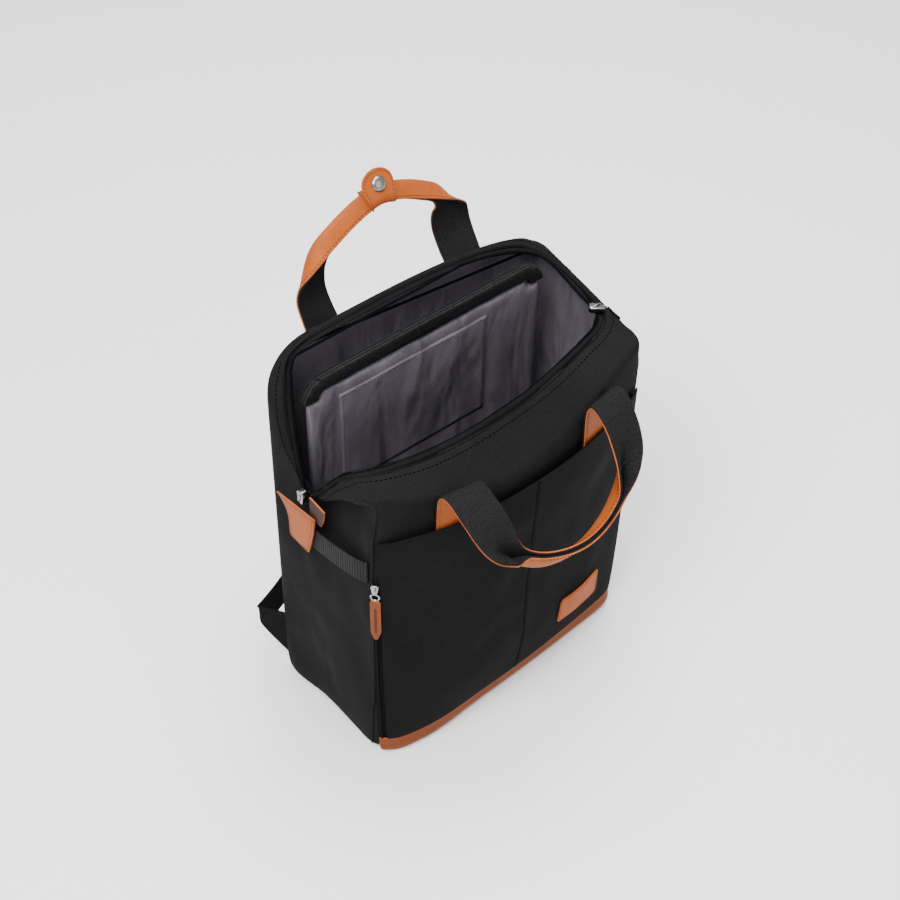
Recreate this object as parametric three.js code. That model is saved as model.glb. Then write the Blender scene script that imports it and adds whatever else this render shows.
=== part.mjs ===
import * as THREE from 'three';

// A daypack with an open zipped mouth, a front slip pocket, two short carrying handles and two
// shoulder straps. Sizes are in millimetres, +X to the bag's left-to-right seen from the front,
// +Y to the back panel and +Z up. The origin is the middle of the base.

// Body
const width = 310;
const depth = 155;
const height = 430;
const wall = 2.5;
const hemRadius = 24;
const bellyDepth = 12;
const tuckDepth = 12;
const clearance = 0.3;

// Zip round the mouth
const tapeWidth = 7;
const tapeThickness = 1.4;
const closedZipWidth = 16;
const closedZipFoot = 305;
const closedZipDrift = 0.24;
const sliderLength = 15;
const sliderWidth = 9;
const sliderThickness = 6;

// Front: leather base band, slip pocket and label patch
const bandFoot = 3;
const bandHeight = 21;
const bandThickness = 1.8;
const pocketTop = 321;
const pocketDroop = 2;
const pocketThickness = 2;
const pocketMouth = 6;
const patchWidth = 58;
const patchHeight = 38;
const patchCorner = 5;
const patchThickness = 1.5;
const patchAcross = 87;
const patchUp = 80;

// Carrying handles: webbing lined with leather, folded lengthwise at the grip
const strapWidth = 38;
const webbing = 1.6;
const leather = 1.5;
const foldHalf = 2.2;
const handleSpread = 84;
const handleSeat = 11;
const frontHandleMiddle = 3;
const frontReach = 67;
const frontRise = 46;
const backSpread = 80;
const backReach = 34;
const backRise = 95;
const backSeat = 60;

// Keeper wrapped round the back handle, with its snap
const keeperWidth = 32;
const keeperFlap = 13;
const keeperThickness = 1.5;
const snapRadius = 7;
const snapHeight = 2.6;

// Side straps and their leather tabs
const sideStrapWidth = 27;
const sideStrapThickness = 1.6;
const sideStrapTop = 290;
const tabThickness = 1.8;
const tabWidth = 30;
const outerTabHeight = 57;
const innerTabHeight = 27;

// Pocket zip at the left edge of the front
const pullWidth = 9.5;
const pullLength = 54;
const pullThickness = 2.4;
const pocketZipTop = 262;
const ringRadius = 4;
const ringWire = 0.9;

// Inside
const dividerPlace = 43;
const dividerThickness = 6;
const dividerWidth = 276;
const dividerTop = 394;
const bindingHeight = 15;
const organiserWidth = 170;
const organiserHeight = 120;
const organiserThickness = 2;

// Back: pad, shoulder straps, adjusters and corner wings
const padWidth = 236;
const padHeight = 280;
const padFoot = 48;
const padThickness = 8;
const shoulderWidth = 56;
const shoulderThickness = 11;
const shoulderTop = 364;
const shoulderSpread = 46;
const shoulderReach = 42;
const shoulderDrop = 240;
const lowerWebbingWidth = 25;
const webbingSag = 6;
const adjusterWidth = 36;
const adjusterHeight = 20;
const adjusterThickness = 5;
const adjusterSlot = 3;
const wingReach = 14;
const wingTop = 78;
const wingFoot = 14;
const wingThickness = 2.4;

// Stations round the body, from the middle of the front by the left side. base is the outline
// on the floor, fold the line where the wall turns over, mouth the zip's edge. x is a share of
// half the width, y of half the depth, z of the height. hem, belly and tuck are shares of the
// bottom edge's radius, of the swell of the wall and of the dent below its fold.
const stations = table(
  'name baseX baseY foldX foldY foldZ mouthX mouthY mouthZ hem belly tuck', [
    ['front_middle', 0, -1.07, 0, -1.33, 0.775, 0, -0.85, 0.884, 0.35, 0.8, 0],
    ['front_left_1', -0.29, -1.09, -0.29, -1.31, 0.783, -0.29, -0.83, 0.875, 0.35, 0.8, 0],
    ['front_left_2', -0.58, -1.13, -0.59, -1.22, 0.812, -0.55, -0.74, 0.866, 0.35, 0.6, 0],
    ['front_left_3', -0.84, -1.07, -0.84, -1.09, 0.848, -0.79, -0.59, 0.86, 0.35, 0.35, 0],
    ['front_left_seam', -0.925, -0.99, -0.985, -1.02, 0.87, -0.9, -0.48, 0.856, 0.35, 0.2, 0],
    ['left_front', -0.99, -0.84, -1.01, -0.89, 0.866, -0.945, -0.4, 0.851, 0.35, 0.1, 0.2],
    ['left_1', -1, -0.58, -1.025, -0.58, 0.82, -0.98, -0.18, 0.802, 0.4, 0.2, 0.9],
    ['left_2', -1.005, -0.22, -1.03, -0.2, 0.742, -1.005, 0.03, 0.745, 0.5, 0.3, 0.6],
    ['left_zip_end', -1.015, 0.15, -1.03, 0.2, 0.682, -1.015, 0.23, 0.712, 0.6, 0.3, 0.2],
    ['left_3', -1.03, 0.44, -1.02, 0.56, 0.752, -0.968, 0.465, 0.78, 0.5, 0.25, 0],
    ['left_back', -1.045, 0.72, -1.015, 0.79, 0.862, -0.935, 0.62, 0.872, 0.45, 0.15, 0],
    ['back_left_corner', -1.01, 0.94, -1, 0.96, 0.914, -0.91, 0.7, 0.95, 0.45, 0, 0],
    ['back_left', -0.88, 1, -0.83, 1, 0.994, -0.865, 0.77, 1.003, 0.5, 0, 0],
    ['back_1', -0.5, 1, -0.5, 1, 1, -0.5, 0.81, 1.005, 0.5, 0, 0],
    ['back_middle', 0, 1, 0, 1, 1, 0, 0.83, 1.003, 0.5, 0, 0],
    ['back_2', 0.5, 1, 0.5, 1, 0.986, 0.5, 0.82, 0.988, 0.5, 0, 0],
    ['back_right', 0.86, 1, 0.88, 1, 0.953, 0.855, 0.8, 0.942, 0.5, 0, 0],
    ['back_right_corner', 0.975, 0.94, 1.06, 0.96, 0.915, 0.93, 0.71, 0.93, 0.5, 0, 0],
    ['right_back', 1.01, 0.72, 1.075, 0.72, 0.902, 0.97, 0.58, 0.92, 0.65, 0.15, 0],
    ['right_3', 1, 0.36, 1.07, 0.36, 0.893, 0.985, 0.3, 0.9, 0.6, 0.25, 0],
    ['right_2', 1, 0, 1.06, -0.02, 0.887, 0.98, 0.02, 0.887, 0.55, 0.3, 0.2],
    ['right_zip_end', 1, -0.36, 1.045, -0.42, 0.88, 0.965, -0.3, 0.884, 0.5, 0.3, 0.3],
    ['right_front', 1, -0.82, 1.02, -0.89, 0.885, 0.905, -0.44, 0.887, 0.35, 0.1, 0],
    ['front_right_seam', 0.965, -0.92, 1, -1.01, 0.88, 0.82, -0.53, 0.889, 0.35, 0.2, 0],
    ['front_right_3', 0.84, -0.96, 0.85, -1.08, 0.862, 0.7, -0.6, 0.89, 0.35, 0.4, 0],
    ['front_right_2', 0.58, -1, 0.59, -1.2, 0.825, 0.5, -0.7, 0.889, 0.35, 0.65, 0],
    ['front_right_1', 0.29, -1.04, 0.29, -1.3, 0.79, 0.26, -0.8, 0.886, 0.35, 0.8, 0],
  ]);

// Front handle, left to right: across is a share of handleSpread, reach of frontReach and rise of
// frontRise. facing is the angle from +Y towards +Z that the webbing side looks in, and fold how
// far each half of the strap is turned over, both in degrees.
const frontHandleRows = table('across reach rise facing fold', [
  [-1, 0, 0.5, 0, 0],
  [-1, 0.03, 0.8, 25, 0],
  [-1, 0.15, 0.97, 85, 0],
  [-0.99, 0.4, 0.8, 130, 0],
  [-0.95, 0.63, 0.42, 142, 8],
  [-0.85, 0.65, -0.18, 126, 40],
  [-0.64, 0.67, -0.9, 100, 86],
  [-0.25, 0.78, -1.34, 104, 90],
  [0.19, 0.85, -1.3, 130, 90],
  [0.56, 0.79, -0.95, 144, 90],
  [0.78, 0.7, -0.55, 148, 87],
  [0.9, 0.66, 0.02, 150, 50],
  [0.945, 0.6, 0.57, 145, 8],
  [0.98, 0.4, 0.9, 130, 0],
  [1, 0.17, 1.08, 85, 0],
  [1, 0.03, 0.93, 25, 0],
  [1, 0, 0.5, 0, 0],
]);

// Left half of the back handle, from its foot to the middle: across is a share of backSpread,
// reach of backReach and rise of backRise, and turn is how far the folded edges lean from the
// front into the loop, in degrees.
const backHandleRows = table('across reach rise turn fold', [
  [-1, 0.35, -0.15, 12, 0],
  [-1, 0.75, 0.08, 16, 0],
  [-1, 0.9, 0.25, 18, 22],
  [-0.98, 0.97, 0.4, 28, 60],
  [-0.86, 1, 0.565, 45, 87],
  [-0.66, 1, 0.68, 55, 90],
  [-0.4, 1, 0.8, 59, 90],
  [0, 1, 0.9, 60, 90],
]);

// The two leaves of a side tab from their feet up: front and back are their edges as shares of
// tabWidth, and frontOut and backOut how far those edges stand off the side.
const outerTabRows = table('up front back frontOut backOut', [
  [0, 0.33, 1.3, 4, 4],
  [0.3, 0.15, 1.26, 4.5, 4.5],
  [0.6, -0.02, 1.25, 5, 5.5],
  [0.85, -0.1, 1.4, 5, 8],
  [1, -0.13, 1.53, 5, 10.5],
]);
const innerTabRows = table('up front back frontOut backOut', [
  [0, -0.34, 0.2, 2.4, 2.4],
  [0.4, -0.5, 0.2, 2.6, 2.6],
  [1, -0.62, 0.16, 4, 3],
]);

// A shoulder strap from its top: spread is a share of shoulderSpread, reach of shoulderReach and
// drop of shoulderDrop.
const shoulderRows = table('spread reach drop', [
  [1, 0, 0],
  [1.02, 0.03, 0.07],
  [1.1, 0.28, 0.14],
  [1.25, 0.66, 0.26],
  [1.42, 0.93, 0.44],
  [1.6, 1, 0.65],
  [1.8, 0.9, 0.86],
  [1.96, 0.76, 1],
]);

const halfWidth = width / 2;
const halfDepth = depth / 2;
const up = new THREE.Vector3(0, 0, 1);
const radians = THREE.MathUtils.degToRad;
const vec = (x, y, z) => new THREE.Vector3(x, y, z);
const along = (point, direction, distance) => point.clone().addScaledVector(direction, distance);
const mixed = (a, b, share) => a.clone().lerp(b, share);

function table(names, rows) {
  const keys = names.split(' ');
  return rows.map((row) => Object.fromEntries(row.map((value, i) => [keys[i], value])));
}

function steps(count, from = 0, to = 1) {
  return Array.from({ length: count }, (_, i) => from + (to - from) * i / (count - 1));
}

// A closed geometry from points and triangles, turned so that its faces point outwards.
function solid(points, triangles) {
  let volume = 0;
  for (const [a, b, c] of triangles) {
    volume += points[a].dot(points[b].clone().cross(points[c]));
  }
  const index = triangles.flatMap(([a, b, c]) => (volume > 0 ? [a, b, c] : [a, c, b]));
  const geometry = new THREE.BufferGeometry().setFromPoints(points);
  geometry.setIndex(index);
  geometry.computeVertexNormals();
  return geometry;
}

// A solid between two matching grids of points, closed along its four edges.
function slab(front, back) {
  const rows = front.length;
  const columns = front[0].length;
  const points = [...front.flat(), ...back.flat()];
  const triangles = [];
  const quad = (a, b, c, d) => triangles.push([a, b, c], [a, c, d]);
  const f = (row, column) => row * columns + column;
  const k = (row, column) => rows * columns + f(row, column);
  for (let r = 0; r < rows - 1; r += 1) {
    for (let c = 0; c < columns - 1; c += 1) {
      quad(f(r, c), f(r, c + 1), f(r + 1, c + 1), f(r + 1, c));
      triangles.push([k(r, c), k(r + 1, c + 1), k(r, c + 1)], [k(r, c), k(r + 1, c), k(r + 1, c + 1)]);
    }
    quad(f(r, 0), f(r + 1, 0), k(r + 1, 0), k(r, 0));
    quad(f(r + 1, columns - 1), f(r, columns - 1), k(r, columns - 1), k(r + 1, columns - 1));
  }
  for (let c = 0; c < columns - 1; c += 1) {
    quad(f(0, c + 1), f(0, c), k(0, c), k(0, c + 1));
    quad(f(rows - 1, c), f(rows - 1, c + 1), k(rows - 1, c + 1), k(rows - 1, c));
  }
  return solid(points, triangles);
}

// A closed skin through rings of equal length, with a single point at each end.
function sock(firstPole, rings, lastPole) {
  const count = rings[0].length;
  const points = [firstPole, ...rings.flat(), lastPole];
  const last = points.length - 1;
  const at = (ring, column) => 1 + ring * count + (column % count);
  const triangles = [];
  for (let c = 0; c < count; c += 1) {
    triangles.push([0, at(0, c + 1), at(0, c)]);
    for (let r = 0; r < rings.length - 1; r += 1) {
      triangles.push([at(r, c), at(r, c + 1), at(r + 1, c + 1)], [at(r, c), at(r + 1, c + 1), at(r + 1, c)]);
    }
    triangles.push([last, at(rings.length - 1, c), at(rings.length - 1, c + 1)]);
  }
  return solid(points, triangles);
}

// The body's outer skin: a grid of levels up the wall and columns round the bag.
const columnsPerStation = 2;
const columnCount = stations.length * columnsPerStation;
const wallShares = [0.09, 0.2, 0.32, 0.44, 0.56, 0.67, 0.77, 0.86, 0.94, 1];
const foldShares = [0.15, 0.5, 1];
const hemLevels = 4;
const foldLevel = hemLevels + wallShares.length - 1;
const tuckCentre = 0.87;
const tuckSpread = 0.09;
const sliderLevel = 0.6;

const loop = (x, y, z) => new THREE.CatmullRomCurve3(
  stations.map((row) => vec(x(row), y(row), z(row))), true, 'centripetal');
const baseLine = loop((row) => row.baseX * halfWidth, (row) => row.baseY * halfDepth, () => 0);
const foldLine = loop((row) => row.foldX * halfWidth, (row) => row.foldY * halfDepth,
  (row) => row.foldZ * height);
const mouthLine = loop((row) => row.mouthX * halfWidth, (row) => row.mouthY * halfDepth,
  (row) => row.mouthZ * height);
const softness = loop((row) => row.hem, (row) => row.belly, (row) => row.tuck);
const mouthAt = (place) => mouthLine.getPoint(wrapped(place) / stations.length);

function wrapped(place) {
  return ((place % stations.length) + stations.length) % stations.length;
}

function bodyColumn(place) {
  const share = wrapped(place) / stations.length;
  const base = baseLine.getPoint(share);
  const fold = foldLine.getPoint(share);
  const mouth = mouthLine.getPoint(share);
  const soft = softness.getPoint(share);
  const tangent = baseLine.getTangent(share);
  const outward = vec(-tangent.y, tangent.x, 0).normalize();
  const hem = hemRadius * soft.x;
  const roundIn = 1 - Math.SQRT1_2;
  const inset = (distance) => vec(
    base.x * (1 - distance / halfWidth), base.y * (1 - distance / halfDepth), 0);
  const points = [
    base.clone().multiplyScalar(0.5),
    inset(hem),
    inset(hem * roundIn).setZ(hem * roundIn),
    base.clone().setZ(hem),
  ];
  for (const t of wallShares) {
    const swell = bellyDepth * soft.y * Math.sin(Math.PI * Math.sqrt(t));
    const dent = tuckDepth * soft.z * Math.exp(-(((t - tuckCentre) / tuckSpread) ** 2));
    points.push(along(mixed(base.clone().setZ(hem), fold, t), outward, swell - dent));
  }
  const clothEdge = along(mouth, fold.clone().sub(mouth).normalize(), tapeWidth);
  for (const t of foldShares) points.push(mixed(fold, clothEdge, t));
  return points;
}

const bodyColumns = Array.from({ length: columnCount }, (_, i) => bodyColumn(i / columnsPerStation));
const levelCount = bodyColumns[0].length;
const skin = Array.from({ length: levelCount }, (_, level) => bodyColumns.map((points) => points[level]));
const skinNormals = skin.map((ring, level) => ring.map((point, column) => {
  if (level === 0) return vec(0, 0, -1);
  const next = ring[(column + 1) % columnCount];
  const previous = ring[(column + columnCount - 1) % columnCount];
  const higher = skin[Math.min(level + 1, levelCount - 1)][column];
  const lower = skin[level - 1][column];
  return higher.clone().sub(lower).cross(next.clone().sub(previous)).normalize();
}));

// A point on the skin, or off it by a distance, at a place counted in stations and a level.
function onLevel(place, level, distance = 0) {
  const column = wrapped(place) * columnsPerStation;
  const left = Math.floor(column) % columnCount;
  const right = (left + 1) % columnCount;
  const low = Math.min(Math.floor(level), levelCount - 2);
  const blend = (grid, row) => mixed(grid[row][left], grid[row][right], column - Math.floor(column));
  const point = mixed(blend(skin, low), blend(skin, low + 1), level - low);
  const normal = mixed(blend(skinNormals, low), blend(skinNormals, low + 1), level - low).normalize();
  return { point: along(point, normal, distance), normal };
}

// The same at a height on the wall.
function onWall(place, z, distance = 0) {
  let level = 1;
  while (level < foldLevel - 1 && onLevel(place, level + 1).point.z < z) level += 1;
  const low = onLevel(place, level).point.z;
  const high = onLevel(place, level + 1).point.z;
  return onLevel(place, level + THREE.MathUtils.clamp((z - low) / (high - low), 0, 1), distance);
}

// The place between two others where the wall at height z has the given coordinate.
function placeWhere(axis, value, z, from, to) {
  let low = from;
  let high = to;
  const rising = onWall(to, z).point[axis] > onWall(from, z).point[axis];
  for (let i = 0; i < 24; i += 1) {
    const middle = (low + high) / 2;
    const short = (onWall(middle, z).point[axis] < value) === rising;
    if (short) low = middle;
    else high = middle;
  }
  return (low + high) / 2;
}

const stationOf = (name) => stations.findIndex((row) => row.name === name);
const leftSeam = stationOf('front_left_seam');
const rightSeam = stationOf('front_right_seam') - stations.length;
const leftZipEnd = stationOf('left_zip_end');
const rightZipEnd = stationOf('right_zip_end');
const backLeft = stationOf('back_left');
const backRight = stationOf('back_right');
const frontPlace = (x, z) => placeWhere('x', x, z, leftSeam, rightSeam);
const backPlace = (x, z) => placeWhere('x', x, z, backLeft, backRight);

const root = new THREE.Group();

function material(color, roughness, metalness = 0) {
  return new THREE.MeshStandardMaterial({ color, roughness, metalness });
}

function add(name, geometry, finish) {
  const mesh = new THREE.Mesh(geometry, finish());
  mesh.name = name;
  root.add(mesh);
  return mesh;
}

const cloth = () => material(0x2b2b2c, 0.85);
const lining = () => material(0x58535b, 0.6);
const tanLeather = () => material(0xc47a52, 0.55);
const blackWebbing = () => material(0x1c1c1d, 0.8);
const zipTape = () => material(0x161617, 0.7);
const steel = () => material(0xb9bab8, 0.25, 1);
const plastic = () => material(0x18181a, 0.45);

function bodyShell() {
  const inner = skin.map((ring, level) => ring.map((point, i) => along(point, skinNormals[level][i], -wall)));
  add('body_shell', sock(vec(0, 0, 0), [...skin, ...inner.reverse()], vec(0, 0, wall)), cloth);
}

// Half of a zip's tape along the mouth, between two places.
function zipHalf(name, from, to) {
  const count = Math.round(Math.abs(to - from) * columnsPerStation) + 1;
  const sink = -(wall - tapeThickness) / 2;
  const edge = (place) => onLevel(place, levelCount - 1);
  const row = (depthIn) => steps(count, from, to).map((place) => {
    const { point, normal } = edge(place);
    const onto = mouthAt(place).sub(point).normalize();
    return [along(along(point, onto, 2 * clearance), normal, depthIn), along(mouthAt(place), normal, depthIn)];
  });
  add(name, slab(row(sink), row(sink - tapeThickness)), zipTape);
}

// The part of the zip that is still closed, over the right shoulder and down the side.
function closedZip() {
  const start = rightZipEnd;
  const shoulderZ = onLevel(start, foldLevel).point.z;
  const halfPlace = 0.5 * closedZipWidth / onLevel(start, foldLevel).point.distanceTo(
    onLevel(start - 1, foldLevel).point);
  const lanes = [-halfPlace, 0, halfPlace];
  const heights = steps(6, shoulderZ - closedZipWidth / 2, closedZipFoot);
  const grid = (distance) => [
    lanes.map((lane) => onLevel(start + lane, foldLevel + sliderLevel, distance).point),
    lanes.map((lane) => onLevel(start + lane, foldLevel, distance).point),
    ...heights.map((z, i) => lanes.map((lane) => onWall(start - i * closedZipDrift + lane, z, distance).point)),
  ];
  add('zip_closed_right', slab(grid(clearance), grid(clearance + tapeThickness)), zipTape);
}

function turned(mesh, at, x, z) {
  const side = x.clone().normalize();
  const out = z.clone().addScaledVector(side, -z.dot(side)).normalize();
  const matrix = new THREE.Matrix4().makeBasis(side, out.clone().cross(side), out);
  mesh.quaternion.setFromRotationMatrix(matrix);
  mesh.position.copy(at);
  return mesh;
}

// A waisted slider lying along its own X, with its thickness centred on Z.
function sliderGeometry(length, breadth, thickness) {
  const half = length / 2;
  const wide = breadth / 2;
  const narrow = 0.6 * wide;
  const shape = new THREE.Shape([
    new THREE.Vector2(-half, -narrow), new THREE.Vector2(-0.2 * half, -0.8 * wide),
    new THREE.Vector2(0.6 * half, -wide), new THREE.Vector2(half, -0.6 * wide),
    new THREE.Vector2(half, 0.6 * wide), new THREE.Vector2(0.6 * half, wide),
    new THREE.Vector2(-0.2 * half, 0.8 * wide), new THREE.Vector2(-half, narrow),
  ]);
  const geometry = new THREE.ExtrudeGeometry(shape, { depth: thickness, bevelEnabled: false });
  return geometry.translate(0, 0, -thickness / 2);
}

function zipSliders() {
  const seat = clearance + sliderThickness / 2;
  const geometry = () => sliderGeometry(sliderLength, sliderWidth, sliderThickness);
  const left = onLevel(leftZipEnd, foldLevel + sliderLevel);
  turned(add('slider_left', geometry(), steel), along(left.point, vec(-1, 0, 0), seat).setZ(
    left.point.z + 0.9 * sliderLength), up, vec(-1, 0, 0));
  const mouth = mouthAt(rightZipEnd);
  const fold = onLevel(rightZipEnd, foldLevel, 0).point;
  const lift = seat + clearance + Math.max(0, fold.z - mouth.z);
  turned(add('slider_right', geometry(), steel), along(mouth, up, lift), mouth.clone().sub(fold), up);
}

// The front pocket: how far its inner face stands off the body at a place and height.
const pocketFoot = bandFoot + bandHeight + 2 * clearance;
const crossing = (place) => place / (place > 0 ? leftSeam : -rightSeam);
const pocketRim = (place) => pocketTop - pocketDroop * (1 - crossing(place) ** 2);

function pocketStand(place, z) {
  const rise = (z - pocketFoot) / (pocketRim(place) - pocketFoot);
  const open = THREE.MathUtils.smoothstep(rise, 0.7, 1) * (1 - crossing(place) ** 4);
  return 2 * clearance + pocketMouth * open;
}

function onPocket(place, z, distance) {
  return onWall(place, z, pocketStand(place, z) + pocketThickness + distance).point;
}

// Heights up the pocket at a place: its foot, the body's own levels below the opening, its rim.
const levelHeight = (place, level) => onLevel(place, level).point.z;
const sharedLevels = steps(wallShares.length, hemLevels, foldLevel).filter(
  (level) => levelHeight(0, level) > pocketFoot && levelHeight(0, level) < 0.7 * pocketRim(0));

function pocketHeights(place) {
  const shared = sharedLevels.map((level) => levelHeight(place, level));
  return [pocketFoot, ...shared, ...steps(6, shared[shared.length - 1], pocketRim(place)).slice(1)];
}

function pocketPanel() {
  const places = steps(2 * columnsPerStation * leftSeam + 1, rightSeam, leftSeam);
  const grid = (distance) => pocketHeights(0).map((_, row) => places.map(
    (place) => onPocket(place, pocketHeights(place)[row], distance)));
  add('front_pocket', slab(grid(-pocketThickness), grid(0)), cloth);
}

function baseBand() {
  const overhang = 0.5;
  const places = steps(2 * columnsPerStation * (leftSeam + overhang) + 1, rightSeam - overhang,
    leftSeam + overhang);
  const top = bandFoot + bandHeight;
  const heights = (place) => [bandFoot, levelHeight(place, hemLevels - 1), (bandFoot + 2 * top) / 3, top];
  const grid = (distance) => heights(0).map((_, row) => places.map(
    (place) => onWall(place, heights(place)[row], distance).point));
  add('base_band', slab(grid(2 * clearance), grid(2 * clearance + bandThickness)), tanLeather);
}

function labelPatch() {
  const corner = [0, 30, 60, 90].map(radians);
  const rise = patchHeight / 2;
  const run = patchWidth / 2;
  const rows = [
    ...corner.map((a) => [-rise + patchCorner * (1 - Math.sin(a)), run - patchCorner * (1 - Math.cos(a))]),
  ].reverse();
  const halves = [...rows, ...rows.map(([z, x]) => [-z, x]).reverse()];
  const seat = 2 * clearance;
  const grid = (distance) => halves.map(([z, x]) => steps(7, -x, x).map((offset) => {
    const height0 = patchUp + z;
    return onPocket(frontPlace(patchAcross + offset, height0), height0, distance);
  }));
  add('label_patch', slab(grid(seat), grid(seat + patchThickness)), tanLeather);
}

// A strap's path: places, the direction of its webbing side and its fold, at matching indices.
class StrapPath {
  constructor(rows) {
    this.last = rows.length - 1;
    this.line = new THREE.CatmullRomCurve3(rows.map((row) => row.at), false, 'centripetal');
    this.outs = new THREE.CatmullRomCurve3(rows.map((row) => row.out), false, 'catmullrom', 0.3);
    this.folds = rows.map((row) => radians(row.fold));
  }

  frame(index) {
    const share = THREE.MathUtils.clamp(index / this.last, 0, 1);
    const at = this.line.getPoint(share);
    const tangent = this.line.getTangent(share);
    const raw = this.outs.getPoint(share);
    const out = raw.addScaledVector(tangent, -raw.dot(tangent)).normalize();
    const low = Math.min(Math.floor(index), this.last - 1);
    const fold = THREE.MathUtils.lerp(this.folds[low], this.folds[low + 1], index - low);
    return { at, tangent, out, across: tangent.clone().cross(out), fold };
  }
}

// The strap's section at a frame, moved a distance to its webbing side.
function strapLine({ at, out, across, fold }, distance) {
  const flap = strapWidth / 2 - foldHalf;
  const crease = foldHalf - distance * Math.tan(fold / 2);
  const half = (side) => {
    const lean = across.clone().multiplyScalar(side * Math.cos(fold)).addScaledVector(out, Math.sin(fold));
    const face = out.clone().multiplyScalar(Math.cos(fold)).addScaledVector(across, -side * Math.sin(fold));
    const corner = along(along(at, across, side * crease), out, distance);
    const foot = along(at, across, side * foldHalf);
    return [along(along(foot, lean, flap), face, distance), corner];
  };
  return [...half(-1), ...half(1).reverse()];
}

function handle(name, path) {
  const frames = steps(2 * path.last + 1, 0, path.last).map((index) => path.frame(index));
  const layer = (low, high) => slab(
    frames.map((frame) => strapLine(frame, low)), frames.map((frame) => strapLine(frame, high)));
  add(`${name}_webbing`, layer(clearance / 2, clearance / 2 + webbing), blackWebbing);
  add(`${name}_leather`, layer(-clearance / 2 - leather, -clearance / 2), tanLeather);
}

// How far the middle between a strap's two layers lies from what its webbing rests on.
const webbingSeat = 5 * clearance + webbing + clearance / 2;

function frontHandlePath() {
  const seat = (side, depthIn) => {
    const z = pocketTop - depthIn;
    const { point, normal } = onWall(frontPlace(frontHandleMiddle + side * handleSpread, z), z, webbingSeat);
    return { at: point, out: normal.clone().setZ(0).normalize().negate(), fold: 0 };
  };
  const rows = frontHandleRows.map((row) => {
    const tab = seat(Math.sign(row.across), 0);
    const facing = radians(row.facing);
    const back = row.fold < 45 ? tab.out.clone() : vec(0, 1, 0);
    return {
      at: vec(frontHandleMiddle + row.across * handleSpread, tab.at.y - row.reach * frontReach,
        pocketTop + row.rise * frontRise),
      out: back.multiplyScalar(Math.cos(facing)).addScaledVector(up, Math.sin(facing)),
      fold: row.fold,
    };
  });
  return new StrapPath([seat(-1, handleSeat), seat(-1, 0), ...rows, seat(1, 0), seat(1, handleSeat)]);
}

function backHandlePath() {
  const seat = (side, depthIn) => {
    const z = height - depthIn;
    const place = backPlace(side * backSpread, z);
    return { at: onWall(place, z, webbingSeat).point, out: vec(0, -1, 0), fold: 0 };
  };
  const foot = seat(-1, backSeat / 2).at;
  const centre = vec(0, 0, height + 0.35 * backRise);
  const rows = backHandleRows.map((row) => {
    const at = vec(row.across * backSpread, foot.y + row.reach * backReach, height + row.rise * backRise);
    const inward = centre.clone().sub(at).setY(0).normalize();
    const turn = radians(row.turn);
    return { at, out: vec(0, -Math.cos(turn), 0).addScaledVector(inward, Math.sin(turn)), fold: row.fold };
  });
  const mirror = ({ at, out, fold }) => ({
    at: at.clone().setX(-at.x), out: out.clone().setX(-out.x), fold,
  });
  const left = [seat(-1, backSeat), seat(-1, backSeat / 2), ...rows];
  return new StrapPath([...left, ...left.slice(0, -1).reverse().map(mirror)]);
}

// A leather strip wound once round the grip, its round end lying over the front with a snap.
function keeper(path) {
  const middle = path.last / 2;
  const perIndex = path.frame(middle).at.distanceTo(path.frame(middle + 1).at);
  const half = keeperThickness / 2;
  const gap = 2 * clearance;
  const side = foldHalf + clearance / 2 + leather + gap + half;
  const over = side + keeperThickness + gap;
  const spine = -(clearance / 2 + leather + gap + half);
  const edges = strapWidth / 2 - foldHalf + gap + half;
  const tip = spine - keeperFlap;
  const radius = keeperWidth / 2;
  const route = [
    [0.6 * edges, side, radius], [spine, side, radius], [spine, -side, radius], [edges, -side, radius],
    [edges, over, radius],
    ...[0, 30, 55, 75, 88].map(radians).map((angle) => [
      tip + radius * (1 - Math.sin(angle)), over, radius * Math.cos(angle)]),
  ];
  const point = (a, b, offset) => {
    const { at, out, across } = path.frame(middle + offset / perIndex);
    return along(along(at, out, a), across, b * Math.sign(-across.y));
  };
  const grid = (distance) => route.map(([a, b, breadth], i) => {
    const before = route[Math.max(i - 1, 0)];
    const after = route[Math.min(i + 1, route.length - 1)];
    const way = (from, to) => new THREE.Vector2(to[0] - from[0], to[1] - from[1]).normalize();
    const [into, onward] = [i ? way(before, route[i]) : way(route[i], after),
      i < route.length - 1 ? way(route[i], after) : way(before, route[i])];
    const normal = new THREE.Vector2(-into.y - onward.y, into.x + onward.x);
    normal.multiplyScalar(distance / (1 + into.dot(onward)));
    return steps(5, -breadth, breadth).map((offset) => point(a + normal.x, b + normal.y, offset));
  });
  add('keeper', slab(grid(-half), grid(half)), tanLeather);

  const face = over + half + clearance;
  const { across, tangent } = path.frame(middle);
  const profile = [[0, 0], [snapRadius, 0], [snapRadius, 0.3], [0.8 * snapRadius, 0.75], [0.4 * snapRadius, 0.95],
    [0, 1]].map(([r, h]) => new THREE.Vector2(r, h * snapHeight));
  const dome = new THREE.LatheGeometry(profile, 16).rotateX(Math.PI / 2);
  turned(add('snap_cap', dome, steel), point(tip + 0.9 * radius, face, 0), tangent,
    across.clone().multiplyScalar(Math.sign(-across.y)));
}

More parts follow.
